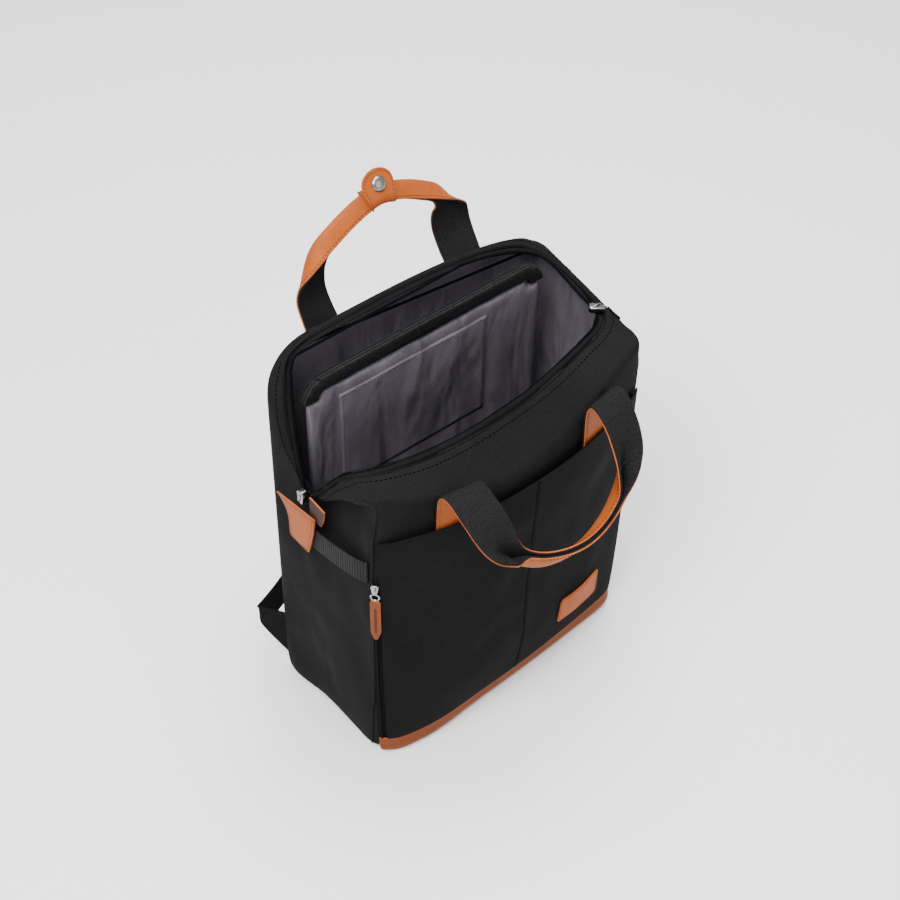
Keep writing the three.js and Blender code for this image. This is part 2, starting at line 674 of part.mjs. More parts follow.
// The side strap and the two leaves of its tab for one side, -1 for the left.
function sideStrap(side, label) {
  const [from, to] = side < 0 ? [leftSeam + 1, backLeft - 1] : [rightSeam - 1, backRight + 1 - stations.length];
  const low = sideStrapTop - sideStrapWidth;
  const tabMiddle = placeWhere('y', 0.3 * halfDepth, low, from, to);
  const wallX = Math.abs(onWall(tabMiddle, low).point.x);
  const out = (distance) => side * (wallX + distance);
  const seamPlace = side < 0 ? leftSeam + 0.8 : rightSeam - 0.8;
  const seam = (distance) => [low, sideStrapTop].map((z) => onWall(seamPlace, z, distance).point);
  const strapRows = table('along out fall', [[-0.72, 1.8, 3], [-0.1, 2, 14], [0.28, 1.2, 20]]);
  const lane = (row) => (distance) => [low, sideStrapTop].map(
    (z) => vec(out(row.out + distance), row.along * halfDepth, z - row.fall));
  const layer = (distance) => [seam, ...strapRows.map(lane)].map((row) => row(distance));
  add(`side_strap_${label}`, slab(layer(clearance), layer(clearance + sideStrapThickness)), blackWebbing);

  const leaf = (rows, foot, tall) => (distance) => rows.map((row) => steps(4).map((share) => vec(
    out(THREE.MathUtils.lerp(row.frontOut, row.backOut, share) + distance),
    THREE.MathUtils.lerp(row.front, row.back, share) * tabWidth, foot + row.up * tall)));
  const outer = leaf(outerTabRows, sideStrapTop - outerTabHeight + 3, outerTabHeight);
  const inner = leaf(innerTabRows, sideStrapTop - 2, innerTabHeight);
  add(`side_tab_${label}`, slab(outer(0), outer(tabThickness)), tanLeather);
  add(`side_tab_inner_${label}`, slab(inner(0), inner(tabThickness)), tanLeather);
}

// The slider, ring and leather pull of the pocket's side zip, hanging at the left front edge.
function pocketZip() {
  const { point, normal } = onWall(leftSeam + 0.25, pocketZipTop, 0);
  const out = normal.clone().setZ(0).normalize();
  const across = up.clone().cross(out);
  const slide = sliderGeometry(sliderLength * 0.8, sliderWidth * 0.8, sliderThickness * 0.6);
  const seat = bandThickness + 4 * clearance + 0.3 * sliderThickness;
  turned(add('pocket_slider', slide, steel), along(point, out, seat), up, out);
  const ringZ = pocketZipTop - 0.4 * sliderLength - clearance - ringWire - ringRadius;
  const ring = add('pocket_zip_ring', new THREE.TorusGeometry(ringRadius, ringWire, 6, 14), steel);
  turned(ring, along(point, out, seat).setZ(ringZ), across, out);
  const top = ringZ - ringRadius - ringWire - clearance;
  const half = pullWidth / 2;
  const outline = [[0, 0.75], [-0.06, 1], [-0.82, 1], [-1, 0.3]];
  const leaf = (distance) => outline.map(([fall, share]) => [-1, 0, 1].map((lane) => along(
    along(along(point, out, seat + distance), across, lane * share * half), up,
    top - point.z + fall * pullLength)));
  add('pocket_pull', slab(leaf(-pullThickness / 2), leaf(pullThickness / 2)), tanLeather);
}

// The padded divider before the laptop space, its bound edge and the organiser on its front.
function divider() {
  const foot = wall + clearance;
  const half = dividerWidth / 2;
  const round = 1.6 * bindingHeight;
  const shoulder = dividerTop + bindingHeight - round;
  const inner = half - bindingHeight;
  const panel = new THREE.Shape();
  const chamfer = hemRadius / 2;
  panel.moveTo(-half, foot + chamfer);
  panel.lineTo(chamfer - half, foot);
  panel.lineTo(half - chamfer, foot);
  panel.lineTo(half, foot + chamfer);
  panel.lineTo(half, shoulder - clearance);
  panel.lineTo(inner - clearance, shoulder - clearance);
  panel.absarc(half - round, shoulder, round - bindingHeight - clearance, 0, Math.PI / 2, false);
  panel.absarc(round - half, shoulder, round - bindingHeight - clearance, Math.PI / 2, Math.PI, false);
  panel.lineTo(clearance - inner, shoulder - clearance);
  panel.lineTo(-half, shoulder - clearance);
  const edge = new THREE.Shape();
  edge.moveTo(half, shoulder);
  edge.absarc(half - round, shoulder, round, 0, Math.PI / 2, false);
  edge.absarc(round - half, shoulder, round, Math.PI / 2, Math.PI, false);
  edge.absarc(round - half, shoulder, round - bindingHeight, Math.PI, Math.PI / 2, true);
  edge.absarc(half - round, shoulder, round - bindingHeight, Math.PI / 2, 0, true);
  const plate = (shape, thickness, y) => new THREE.ExtrudeGeometry(shape, {
    depth: thickness, bevelEnabled: false, curveSegments: 6,
  }).rotateX(Math.PI / 2).translate(0, y + thickness / 2, 0);
  add('divider', plate(panel, dividerThickness, dividerPlace), lining);
  add('divider_binding', plate(edge, dividerThickness + 2, dividerPlace), blackWebbing);
  const pocket = new THREE.Shape();
  const pocketHigh = dividerTop - bindingHeight;
  pocket.moveTo(-organiserWidth * 0.6, pocketHigh - organiserHeight);
  pocket.lineTo(organiserWidth * 0.4, pocketHigh - organiserHeight);
  pocket.lineTo(organiserWidth * 0.4, pocketHigh);
  pocket.lineTo(-organiserWidth * 0.6, pocketHigh);
  const face = dividerPlace - dividerThickness / 2 - clearance - organiserThickness / 2;
  add('organiser_pocket', plate(pocket, organiserThickness, face), lining);
}

// A pad with soft edges on the back panel.
function backPad() {
  const edge = 2;
  const grid = (lift) => steps(8, -1, 1).map((v) => steps(8, -1, 1).map((u) => {
    const z = padFoot + padHeight * (v + 1) / 2;
    const swell = (padThickness - edge) * (1 - u ** 6) * (1 - v ** 6) + edge;
    const place = backPlace(u * padWidth / 2, z);
    return onWall(place, z, 4 * clearance + lift * swell).point;
  }));
  add('back_pad', slab(grid(0), grid(1)), cloth);
}

// One shoulder strap with its adjuster, lower webbing and the wing that it is sewn to.
function shoulderStrap(side, label) {
  const backY = onWall(backPlace(side * shoulderSpread, shoulderTop), shoulderTop).point.y;
  const seatY = backY + 2 * clearance + shoulderThickness / 2;
  const line = new THREE.CatmullRomCurve3(shoulderRows.map((row) => vec(
    side * row.spread * shoulderSpread, seatY + row.reach * shoulderReach,
    shoulderTop - row.drop * shoulderDrop)), false, 'centripetal');
  const frames = steps(15).map((share) => {
    const tangent = line.getTangent(share);
    const across = tangent.clone().cross(vec(0, 1, 0)).normalize();
    return { at: line.getPoint(share), tangent, across, out: across.clone().cross(tangent) };
  });
  const thick = [0.6, 1, 1, 0.6];
  const layer = (face) => frames.map(({ at, across, out }) => [-1, -0.75, 0.75, 1].map((lane, i) => along(
    along(at, across, lane * shoulderWidth / 2), out, face * thick[i] * shoulderThickness / 2)));
  add(`shoulder_strap_${label}`, slab(layer(-1), layer(1)), cloth);

  const end = frames[frames.length - 1];
  const frameShape = new THREE.Shape();
  const w = adjusterWidth / 2;
  const h = adjusterHeight / 2;
  frameShape.moveTo(-w, -h);
  frameShape.lineTo(w, -h);
  frameShape.lineTo(w, h);
  frameShape.lineTo(-w, h);
  const slotHalf = lowerWebbingWidth / 2 + 1;
  for (const level of [-0.45 * h, 0.45 * h]) {
    const slot = new THREE.Path();
    slot.moveTo(-slotHalf, level - adjusterSlot / 2);
    slot.lineTo(-slotHalf, level + adjusterSlot / 2);
    slot.lineTo(slotHalf, level + adjusterSlot / 2);
    slot.lineTo(slotHalf, level - adjusterSlot / 2);
    frameShape.holes.push(slot);
  }
  const buckle = new THREE.ExtrudeGeometry(frameShape, { depth: adjusterThickness, bevelEnabled: false })
    .translate(0, 0, -adjusterThickness / 2);
  turned(add(`adjuster_${label}`, buckle, plastic), along(end.at, end.tangent, clearance + h), end.across,
    end.out);

  const corner = side < 0 ? stationOf('back_left_corner') : stationOf('back_right_corner');
  const dir = vec(side * 0.8, 0.6, 0);
  const face = vec(-side * 0.6, 0.8, 0);
  const rootAt = (z) => onWall(corner, z, clearance + wingThickness).point;
  const tipLow = wingTop - lowerWebbingWidth + 12;
  const tipHigh = wingTop + 12;
  const wingRows = [[0, wingFoot, wingTop], [0.5, 0.5 * (wingFoot + tipLow), wingTop + 8], [1, tipLow, tipHigh]];
  const wing = (distance) => wingRows.map(([share, low, high]) => steps(4, low, high).map((z) => along(
    along(rootAt(wingTop).setZ(z), dir, share * 1.6 * wingReach), face, distance)));
  add(`strap_wing_${label}`, slab(wing(-wingThickness / 2), wing(wingThickness / 2)), cloth);

  const start = along(end.at, end.tangent, 2 * clearance + adjusterHeight);
  const tip = along(along(rootAt(wingTop), dir, 1.3 * wingReach), face,
    wingThickness / 2 + clearance + webbing / 2).setZ((tipLow + tipHigh) / 2);
  const run = tip.clone().sub(start).normalize();
  const webbingRows = steps(7).map((share) => {
    const at = mixed(start, tip, share).addScaledVector(up, -webbingSag * 4 * share * (1 - share));
    const turn = Math.min(1, 3 * share);
    const way = mixed(end.tangent, run, turn).normalize();
    const out = mixed(end.out, face, share);
    out.addScaledVector(way, -out.dot(way)).normalize();
    return { at, out, across: out.clone().cross(way) };
  });
  const ribbon = (distance) => webbingRows.map(({ at, across, out }) => [-1, 1].map((lane) => along(
    along(at, across, lane * lowerWebbingWidth / 2), out, distance)));
  add(`strap_webbing_${label}`, slab(ribbon(-webbing / 2), ribbon(webbing / 2)), blackWebbing);
}

bodyShell();
zipHalf('zip_front', leftZipEnd - 0.15, rightZipEnd - stations.length + 0.15);
zipHalf('zip_back', leftZipEnd + 0.15, rightZipEnd - 0.15);
closedZip();
zipSliders();
pocketPanel();
baseBand();
labelPatch();
handle('front_handle', frontHandlePath());
const backPath = backHandlePath();
handle('back_handle', backPath);
keeper(backPath);
sideStrap(-1, 'left');
sideStrap(1, 'right');
pocketZip();
divider();
backPad();
shoulderStrap(-1, 'left');
shoulderStrap(1, 'right');

export default root;
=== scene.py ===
# %% [markdown]
# # A daypack, dressed over its solid model
# The solid model gives every piece its place and size. This script gives the cloth, leather,
# webbing and metal their look. Each cell of words says what a piece is on the real bag, how it
# could be made in Blender, and why it is made this way. All sizes are in metres, so `mm` turns
# a size in millimetres into Blender's unit.

# %% Load the solid model
import math

import bmesh
import bpy
from mathutils import Matrix, Vector, noise
from mathutils.bvhtree import BVHTree
from mathutils.kdtree import KDTree


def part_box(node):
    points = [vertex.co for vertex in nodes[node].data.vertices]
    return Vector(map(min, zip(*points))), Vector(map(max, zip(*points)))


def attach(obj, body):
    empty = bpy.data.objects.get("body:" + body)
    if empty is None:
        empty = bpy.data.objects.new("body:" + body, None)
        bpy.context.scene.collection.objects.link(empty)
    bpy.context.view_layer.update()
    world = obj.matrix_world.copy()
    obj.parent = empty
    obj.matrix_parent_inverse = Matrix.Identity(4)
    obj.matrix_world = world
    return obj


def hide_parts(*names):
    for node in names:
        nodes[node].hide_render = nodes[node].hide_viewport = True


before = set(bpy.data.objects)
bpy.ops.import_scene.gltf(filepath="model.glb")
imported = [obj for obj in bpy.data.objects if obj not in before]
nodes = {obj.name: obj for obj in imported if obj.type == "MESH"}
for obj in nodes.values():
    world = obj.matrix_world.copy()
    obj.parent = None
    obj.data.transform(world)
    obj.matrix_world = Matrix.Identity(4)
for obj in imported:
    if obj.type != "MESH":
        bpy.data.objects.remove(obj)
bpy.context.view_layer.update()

mm = 0.001

# %% [markdown]
# ## The camera
# The photo looks down at the bag from its front left. The camera's place, aim, slight roll and
# lens came from matching marked points of the bag, so a piece that is right in the model lands
# on the same pixel as in the photo. It could be placed by eye, but then every later comparison
# would be guesswork.

# %% Camera
camera_place = Vector((-0.7764, -0.9246, 1.5372))
camera_aim = Vector((-0.0052, 0, 0.2765))
camera_roll = math.radians(0.81)
lens = bpy.data.cameras.new("photo_camera")
lens.sensor_width = 36
lens.lens = 74.5
lens.clip_start = 0.05
camera = bpy.data.objects.new("photo_camera", lens)
level_turn = (camera_aim - camera_place).to_track_quat("-Z", "Y").to_matrix()
camera.matrix_world = Matrix.Translation(camera_place) @ (
    level_turn @ Matrix.Rotation(camera_roll, 3, "Z")).to_4x4()
bpy.context.scene.collection.objects.link(camera)
bpy.context.scene.camera = camera
print("camera", [round(v, 3) for v in camera.location], "lens", lens.lens)

# %% [markdown]
# ## Patterns that several finishes share
# Weave, leather grain, webbing ribs and light wear turn up on many pieces. Each is a shader node
# group: a small machine with named inputs that is built once and placed in every material that
# needs it, with its own sizes. Painting each material by hand would give the same look, but a
# change would then have to be made many times.

# %% A helper that places and wires shader nodes
def wire(tree, kind, inputs=(), **settings):
    """Adds a node; an input is a value or the socket that feeds it."""
    made = tree.nodes.new(kind)
    for name, value in settings.items():
        setattr(made, name, value)
    for socket, value in dict(inputs).items():
        if isinstance(value, bpy.types.NodeSocket):
            tree.links.new(value, made.inputs[socket])
        else:
            made.inputs[socket].default_value = value
    return made


def maths(tree, operation, first, second=0.0):
    return wire(tree, "ShaderNodeMath", {0: first, 1: second}, operation=operation).outputs[0]


def pattern_group(name, inputs, outputs):
    tree = bpy.data.node_groups.new(name, "ShaderNodeTree")
    for label, kind, value in inputs:
        socket = tree.interface.new_socket(label, in_out="INPUT", socket_type=kind)
        if value is not None:
            socket.default_value = value
    for label in outputs:
        tree.interface.new_socket(label, in_out="OUTPUT", socket_type="NodeSocketFloat")
    return tree, tree.nodes.new("NodeGroupInput"), tree.nodes.new("NodeGroupOutput")


def give(tree, outlet, **results):
    for label, socket in results.items():
        tree.links.new(socket, outlet.inputs[label])


FLOAT = "NodeSocketFloat"
VECTOR = "NodeSocketVector"

# %% [markdown]
# ### Woven thread
# Cloth is made of threads that cross over and under. Two sine waves, one for each direction of
# thread, multiply to that pattern. An image of cloth would blur when it is seen from near, and a
# formula stays sharp. Two noises make some threads thicker and some places darker.

# %% Weave
def build_weave():
    """Over-and-under threads. Threads is how many lie in a metre."""
    tree, source, outlet = pattern_group(
        "thread weave", [("Vector", VECTOR, None), ("Threads", FLOAT, 1400.0)],
        ["Height", "Slubs", "Mottle"])
    scaled = wire(tree, "ShaderNodeVectorMath", {0: source.outputs["Vector"]}, operation="SCALE")
    tree.links.new(maths(tree, "MULTIPLY", source.outputs["Threads"], math.pi), scaled.inputs["Scale"])
    parts = wire(tree, "ShaderNodeSeparateXYZ", {0: scaled.outputs[0]})
    warp = maths(tree, "SINE", parts.outputs[0])
    weft = maths(tree, "SINE", parts.outputs[1])
    height = maths(tree, "MULTIPLY_ADD", maths(tree, "MULTIPLY", warp, weft), 0.5)
    slubs = wire(tree, "ShaderNodeTexNoise", {
        "Vector": source.outputs["Vector"], "Scale": 420.0, "Detail": 2.0, "Roughness": 0.6})
    mottle = wire(tree, "ShaderNodeTexNoise", {
        "Vector": source.outputs["Vector"], "Scale": 14.0, "Detail": 3.0, "Roughness": 0.55})
    give(tree, outlet, Height=height, Slubs=slubs.outputs["Fac"], Mottle=mottle.outputs["Fac"])
    return tree


weave_group = build_weave()
print("weave nodes:", len(weave_group.nodes))

# %% [markdown]
# ### Leather grain
# Smooth leather has fine pores and changes its tone slowly. Voronoi cells stand for the pores,
# because each cell is a small dimple. Noise alone would look like stone.

# %% Grain
def build_grain():
    """Fine leather pores over a slow change of tone. Pores is how many lie in a metre."""
    tree, source, outlet = pattern_group(
        "leather grain", [("Vector", VECTOR, None), ("Pores", FLOAT, 900.0)],
        ["Height", "Tone", "Mottle"])
    cells = wire(tree, "ShaderNodeTexVoronoi", {
        "Vector": source.outputs["Vector"], "Scale": source.outputs["Pores"], "Randomness": 1.0})
    fine = wire(tree, "ShaderNodeTexNoise", {
        "Vector": source.outputs["Vector"], "Scale": 2100.0, "Detail": 2.0})
    height = maths(tree, "MULTIPLY_ADD", cells.outputs["Distance"], 0.7)
    tree.links.new(maths(tree, "MULTIPLY", fine.outputs["Fac"], 0.3), height.node.inputs[2])
    tone = wire(tree, "ShaderNodeTexNoise", {
        "Vector": source.outputs["Vector"], "Scale": 38.0, "Detail": 4.0, "Roughness": 0.6})
    mottle = wire(tree, "ShaderNodeTexNoise", {
        "Vector": source.outputs["Vector"], "Scale": 260.0, "Detail": 3.0, "Roughness": 0.6})
    give(tree, outlet, Height=height, Tone=tone.outputs["Fac"], Mottle=mottle.outputs["Fac"])
    return tree


grain_group = build_grain()
print("grain nodes:", len(grain_group.nodes))

# %% [markdown]
# ### Ribs and creases
# Webbing has ribs across it, and the thin satin of the lining hangs in long creases. The ribs are
# the absolute value of a sine, which has round tops and sharp valleys like thread. The creases
# are a noise that is drawn out up and down.

# %% Ribs and creases
def build_ribs():
    """Ribs across one coordinate. Pitch is the distance between two ribs, in metres."""
    tree, source, outlet = pattern_group(
        "webbing ribs", [("Run", FLOAT, 0.0), ("Pitch", FLOAT, 0.003)], ["Height"])
    count = maths(tree, "DIVIDE", source.outputs["Run"], source.outputs["Pitch"])
    wave = maths(tree, "SINE", maths(tree, "MULTIPLY", count, math.pi))
    give(tree, outlet, Height=maths(tree, "ABSOLUTE", wave))
    return tree


def build_creases():
    """Long soft creases of thin satin, as a height. Size is how many lie in a metre."""
    tree, source, outlet = pattern_group(
        "satin creases", [("Vector", VECTOR, None), ("Size", FLOAT, 24.0)], ["Height"])
    drawn_out = wire(tree, "ShaderNodeVectorMath", {
        0: source.outputs["Vector"], 1: (1.0, 1.0, 0.35)}, operation="MULTIPLY")
    folds = wire(tree, "ShaderNodeTexNoise", {
        "Vector": drawn_out.outputs[0], "Scale": source.outputs["Size"], "Detail": 2.0,
        "Roughness": 0.45, "Distortion": 0.5})
    give(tree, outlet, Height=folds.outputs["Fac"])
    return tree


rib_group = build_ribs()
crease_group = build_creases()
print("rib nodes:", len(rib_group.nodes), "crease nodes:", len(crease_group.nodes))

# %% [markdown]
# ### Rub marks
# Leather, metal and plastic get duller where hands touch them. A noise that is cut off below the
# middle gives scattered soft spots, and each material chooses how strong they are.

# %% Rub marks
def build_wear():
    """Soft scattered rub marks, 0 where the finish is fresh. Spots is how many lie in a metre."""
    tree, source, outlet = pattern_group(
        "rub marks", [("Vector", VECTOR, None), ("Spots", FLOAT, 120.0), ("Amount", FLOAT, 0.5)],
        ["Mask"])
    patches = wire(tree, "ShaderNodeTexNoise", {
        "Vector": source.outputs["Vector"], "Scale": source.outputs["Spots"], "Detail": 5.0,
        "Roughness": 0.7})
    mask = wire(tree, "ShaderNodeMapRange", {
        "Value": patches.outputs["Fac"], "From Min": 0.5, "From Max": 0.72,
        "To Max": source.outputs["Amount"]})
    give(tree, outlet, Mask=mask.outputs["Result"])
    return tree


wear_group = build_wear()
print("pattern groups:", [tree.name for tree in bpy.data.node_groups])

# %% [markdown]
# ## The finishes
# A finish mixes two near tones by a pattern's mask, bends the light with a Bump node fed by the
# pattern's height, and leaves uniform numbers, such as sheen, on the Principled shader itself.
# Dark cloth is never pure black: a low base colour with hardly any shine shows the folds the way
# the photo does.

# %% Helpers for materials
def new_material(name, **uniform):
    material = bpy.data.materials.new(name)
    material.use_nodes = True
    tree = material.node_tree
    shader = tree.nodes["Principled BSDF"]
    for socket, value in uniform.items():
        shader.inputs[socket.replace("_", " ")].default_value = value
    return material, tree, shader


def two_tones(tree, mask, low, high, near=0.35, far=0.65):
    """A colour between two tones, low where the mask is under near and high where over far."""
    ramp = wire(tree, "ShaderNodeValToRGB", {"Fac": mask})
    ramp.color_ramp.elements[0].position = near
    ramp.color_ramp.elements[0].color = (*low, 1)
    ramp.color_ramp.elements[1].position = far
    ramp.color_ramp.elements[1].color = (*high, 1)
    return ramp.outputs["Color"]


def bump(tree, shader, height, strength, distance):
    made = wire(tree, "ShaderNodeBump", {
        "Height": height, "Strength": strength, "Distance": distance})
    tree.links.new(made.outputs["Normal"], shader.inputs["Normal"])
    return made


def group_node(tree, group, **inputs):
    return wire(tree, "ShaderNodeGroup", inputs, node_tree=group)


def placed(tree, uv=None):
    """The pattern's coordinates: the piece's own UV map, or its Object coordinates."""
    if uv:
        return wire(tree, "ShaderNodeUVMap", uv_map=uv).outputs["UV"]
    return wire(tree, "ShaderNodeTexCoord").outputs["Object"]


print("finish helpers:", [helper.__name__ for helper in (new_material, two_tones, bump, placed)])

# %% [markdown]
# ### Cloth
# Three cloths and a tape share one recipe: two near tones mixed by thick threads, and a bump of
# the weave. The satin has a second, broad bump for its creases. The real bag's outer cloth is
# matt, so almost nothing shines there.

# %% Cloth, lining and tape
def cloth(name, low, high, threads, roughness, sheen, relief=0.25, uv="Weave", shine=0.03,
          creases=0.0):
    material, tree, shader = new_material(
        name, Roughness=roughness, Sheen_Weight=sheen, Sheen_Roughness=0.4,
        Sheen_Tint=(0.5, 0.5, 0.52, 1), Specular_IOR_Level=shine)
    weave = group_node(tree, weave_group, Vector=placed(tree, uv), Threads=threads)
    mask = maths(tree, "MULTIPLY_ADD", weave.outputs["Slubs"], 0.55)
    tree.links.new(maths(tree, "MULTIPLY", weave.outputs["Mottle"], 0.45), mask.node.inputs[2])
    tree.links.new(two_tones(tree, mask, low, high), shader.inputs["Base Color"])
    fine = bump(tree, shader, weave.outputs["Height"], relief, 0.3 * mm)
    if creases:
        folds = group_node(tree, crease_group, Vector=placed(tree), Size=creases)
        broad = wire(tree, "ShaderNodeBump", {
            "Height": folds.outputs["Height"], "Strength": 0.9, "Distance": 18 * mm})
        tree.links.new(broad.outputs["Normal"], fine.inputs["Normal"])
    return material


shell_cloth = cloth("charcoal_cloth", (0.0058, 0.0057, 0.0061), (0.0102, 0.01, 0.0104),
                    threads=1500.0, roughness=0.8, sheen=0.01)
# The pocket's cloth is the outer cloth in darker tones: painted shade, as the pocket's upright front lies
# in shade under the light from above.
shaded_pocket_cloth = cloth("shaded_pocket_cloth", (0.0038, 0.0035, 0.0041), (0.0074, 0.0069, 0.0078),
                     threads=1500.0, roughness=0.8, sheen=0.01)
lining_cloth = cloth("satin_lining", (0.062, 0.056, 0.068), (0.098, 0.089, 0.105), threads=2600.0,
                     roughness=0.38, sheen=0.03, relief=0.12, shine=0.25, creases=26.0)
tape_cloth = cloth("zip_tape_cloth", (0.004, 0.004, 0.0043), (0.0075, 0.0075, 0.0079),
                   threads=1100.0, roughness=0.8, sheen=0.0, uv=None)
print("cloths:", [m.name for m in (shell_cloth, shaded_pocket_cloth, lining_cloth, tape_cloth)])

# %% [markdown]
# ### Webbing
# Webbing is woven thick and narrow, with ribs across it. The handles have fine ribs that follow
# the strap by its own UV map, and the side straps have coarse ones that can be counted in the
# photo. Each rib's top is painted lighter and its valley darker: painted highlight and shade.

# %% Webbing
def ribbed(name, pitch, relief, uv=None):
    """Black webbing with ribs along the piece's run, or along Y where it has no UV map."""
    material, tree, shader = new_material(name, Roughness=0.62, Specular_IOR_Level=0.05)
    vector = placed(tree, uv)
    parts = wire(tree, "ShaderNodeSeparateXYZ", {0: vector})
    ribs = group_node(tree, rib_group, Run=parts.outputs[0 if uv else 1], Pitch=pitch)
    weave = group_node(tree, weave_group, Vector=vector, Threads=900.0)
    height = maths(tree, "MULTIPLY_ADD", weave.outputs["Height"], 0.25)
    tree.links.new(ribs.outputs["Height"], height.node.inputs[2])
    # Darker in the rib valleys and lighter on the rib tops: painted shade and painted highlight of the
    # ribs, over the real thick threads.
    tone = maths(tree, "MULTIPLY", ribs.outputs["Height"], weave.outputs["Slubs"])
    tree.links.new(two_tones(tree, tone, (0.0025, 0.0025, 0.0027), (0.021, 0.021, 0.0215), 0.1, 0.75),
                   shader.inputs["Base Color"])
    bump(tree, shader, height, 0.8, relief)
    return material


handle_webbing = ribbed("handle_webbing", 1.7 * mm, 0.4 * mm, "Run")
strap_webbing = ribbed("strap_webbing", 3.2 * mm, 0.6 * mm)
print("webbings:", handle_webbing.name, strap_webbing.name)

# %% [markdown]
# ### Leather
# The trim is smooth tan leather with a paler cut edge and a dark flesh side; where the flesh side
# lies in shade it is painted darker still, as painted shade. Its tone drifts a little over each
# piece, and the rub marks change how rough it is rather than its colour.

# %% Leather
def leather(name, low, high, roughness, pores=900.0):
    material, tree, shader = new_material(name, Specular_IOR_Level=0.05)
    vector = placed(tree)
    grain = group_node(tree, grain_group, Vector=vector, Pores=pores)
    wear = group_node(tree, wear_group, Vector=vector, Spots=70.0, Amount=0.35)
    mask = maths(tree, "MULTIPLY_ADD", grain.outputs["Tone"], 0.6)
    tree.links.new(maths(tree, "MULTIPLY", grain.outputs["Mottle"], 0.4), mask.node.inputs[2])
    tree.links.new(two_tones(tree, mask, low, high, 0.3, 0.7), shader.inputs["Base Color"])
    rough = maths(tree, "MULTIPLY_ADD", wear.outputs["Mask"], 0.2)
    rough.node.inputs[2].default_value = roughness
    tree.links.new(rough, shader.inputs["Roughness"])
    bump(tree, shader, grain.outputs["Height"], 0.35, 0.15 * mm)
    return material


tan_leather = leather("tan_leather", (0.235, 0.052, 0.0095), (0.315, 0.076, 0.016), 0.45)
leather_edge = leather("leather_edge", (0.29, 0.072, 0.02), (0.36, 0.1, 0.03), 0.7, 1600.0)
# A darker leather for the band; the pull takes it too, as painted shade.
band_and_shaded_pull_leather = leather("band_and_shaded_pull_leather", (0.13, 0.034, 0.0115), (0.175, 0.049, 0.018), 0.5)
# The flesh side of the inner leaf: dark, and painted darker still as shade.
dark_flesh_and_shade_leather = leather("dark_flesh_and_shade_leather", (0.022, 0.011, 0.009), (0.04, 0.02, 0.014), 0.55)
strip_leather = leather("strip_leather", (0.05, 0.017, 0.009), (0.08, 0.026, 0.014), 0.55)
print("leathers:", [m.name for m in (tan_leather, leather_edge, band_and_shaded_pull_leather, dark_flesh_and_shade_leather)])

# %% [markdown]
# ### Thread, metal and plastic
# These are smooth, so they have no pattern of their own. Two near tones and the rub marks keep
# them from looking like a flat colour.

# %% Thread, metal and plastic
def smooth_finish(name, low, high, roughness, spots, **uniform):
    """Thread, metal or plastic: two near tones and a roughness that rub marks change."""
    material, tree, shader = new_material(name, **uniform)
    wear = group_node(tree, wear_group, Vector=placed(tree), Spots=spots, Amount=0.8)
    tone = two_tones(tree, wear.outputs["Mask"], low, high, 0.0, 0.8)
    tree.links.new(tone, shader.inputs["Base Color"])
    rough = maths(tree, "MULTIPLY_ADD", wear.outputs["Mask"], 0.15)
    rough.node.inputs[2].default_value = roughness
    tree.links.new(rough, shader.inputs["Roughness"])
    return material


nickel = smooth_finish("polished_nickel", (0.25, 0.25, 0.245), (0.34, 0.34, 0.33),
                       roughness=0.24, spots=300.0, Metallic=1.0)
snap_steel = smooth_finish("snap_steel", (0.24, 0.235, 0.23), (0.33, 0.325, 0.32),
                           roughness=0.3, spots=260.0, Metallic=1.0)
zip_teeth_finish = smooth_finish("zip_teeth_black", (0.002, 0.002, 0.0023), (0.006, 0.006, 0.0063),
                                 roughness=0.6, spots=400.0, Specular_IOR_Level=0.02)
moulded_black = smooth_finish("moulded_black", (0.006, 0.006, 0.0065), (0.011, 0.011, 0.0115),
                              roughness=0.45, spots=160.0, Specular_IOR_Level=0.25)
dark_thread = smooth_finish("dark_thread", (0.026, 0.009, 0.005), (0.045, 0.015, 0.009),
                            roughness=0.7, spots=900.0, Specular_IOR_Level=0.02)
# Near black, darker than the cloth, so that the lip's stitches also paint the shade of the hem's groove.
black_thread_and_seam_shade = smooth_finish("black_thread_and_seam_shade", (0.001, 0.001, 0.0012), (0.003, 0.003, 0.0033),
                             roughness=0.8, spots=900.0, Specular_IOR_Level=0.01)
print("materials:", len(bpy.data.materials))

# %% [markdown]
# ## From a plain solid to a sewn piece
# A node of the solid model is made of loose triangles with few faces. A copy of it is merged into
# one skin, its triangles are joined to quads, and Subdivision Surface rounds it like soft goods.
# The thin cut edges of cloth and leather must stay crisp, so they are bevelled a little and
# creased. Starting from the copy keeps every piece exactly where the solid is; a new mesh from a
# box would have to be fitted by eye.

# %% Helpers that copy a solid and soften its cut edges
sharp_angle = math.radians(50)
thin_side = 2.9 * mm
same_point = 0.02 * mm


def solid_copy(node):
    """A node's mesh with its doubles merged and its triangles joined to quads."""
    bm = bmesh.new()
    bm.from_mesh(nodes[node].data)
    bmesh.ops.remove_doubles(bm, verts=bm.verts, dist=same_point)
    bmesh.ops.recalc_face_normals(bm, faces=bm.faces)
    bmesh.ops.join_triangles(
        bm, faces=bm.faces, angle_face_threshold=math.radians(45), angle_shape_threshold=math.pi)
    return bm


def is_sharp(edge):
    return edge.is_manifold and edge.calc_face_angle(0) > sharp_angle


def narrowest(face):
    return min(edge.calc_length() for edge in face.edges)


def hard_edges(bm):
    """The edges round the cut sides of a piece: sharp, and beside a thin face."""
    return [edge for edge in bm.edges
            if is_sharp(edge) and any(narrowest(face) < thin_side for face in edge.link_faces)]


def rounded(bm, edges, width, segments=2):
    bmesh.ops.bevel(bm, geom=edges, offset=width, offset_type="OFFSET", segments=segments,
                    profile=0.5, affect="EDGES", material=-1, clamp_overlap=True)


def soft_bevel(bm, width=0.35 * mm):
    rounded(bm, hard_edges(bm), width)


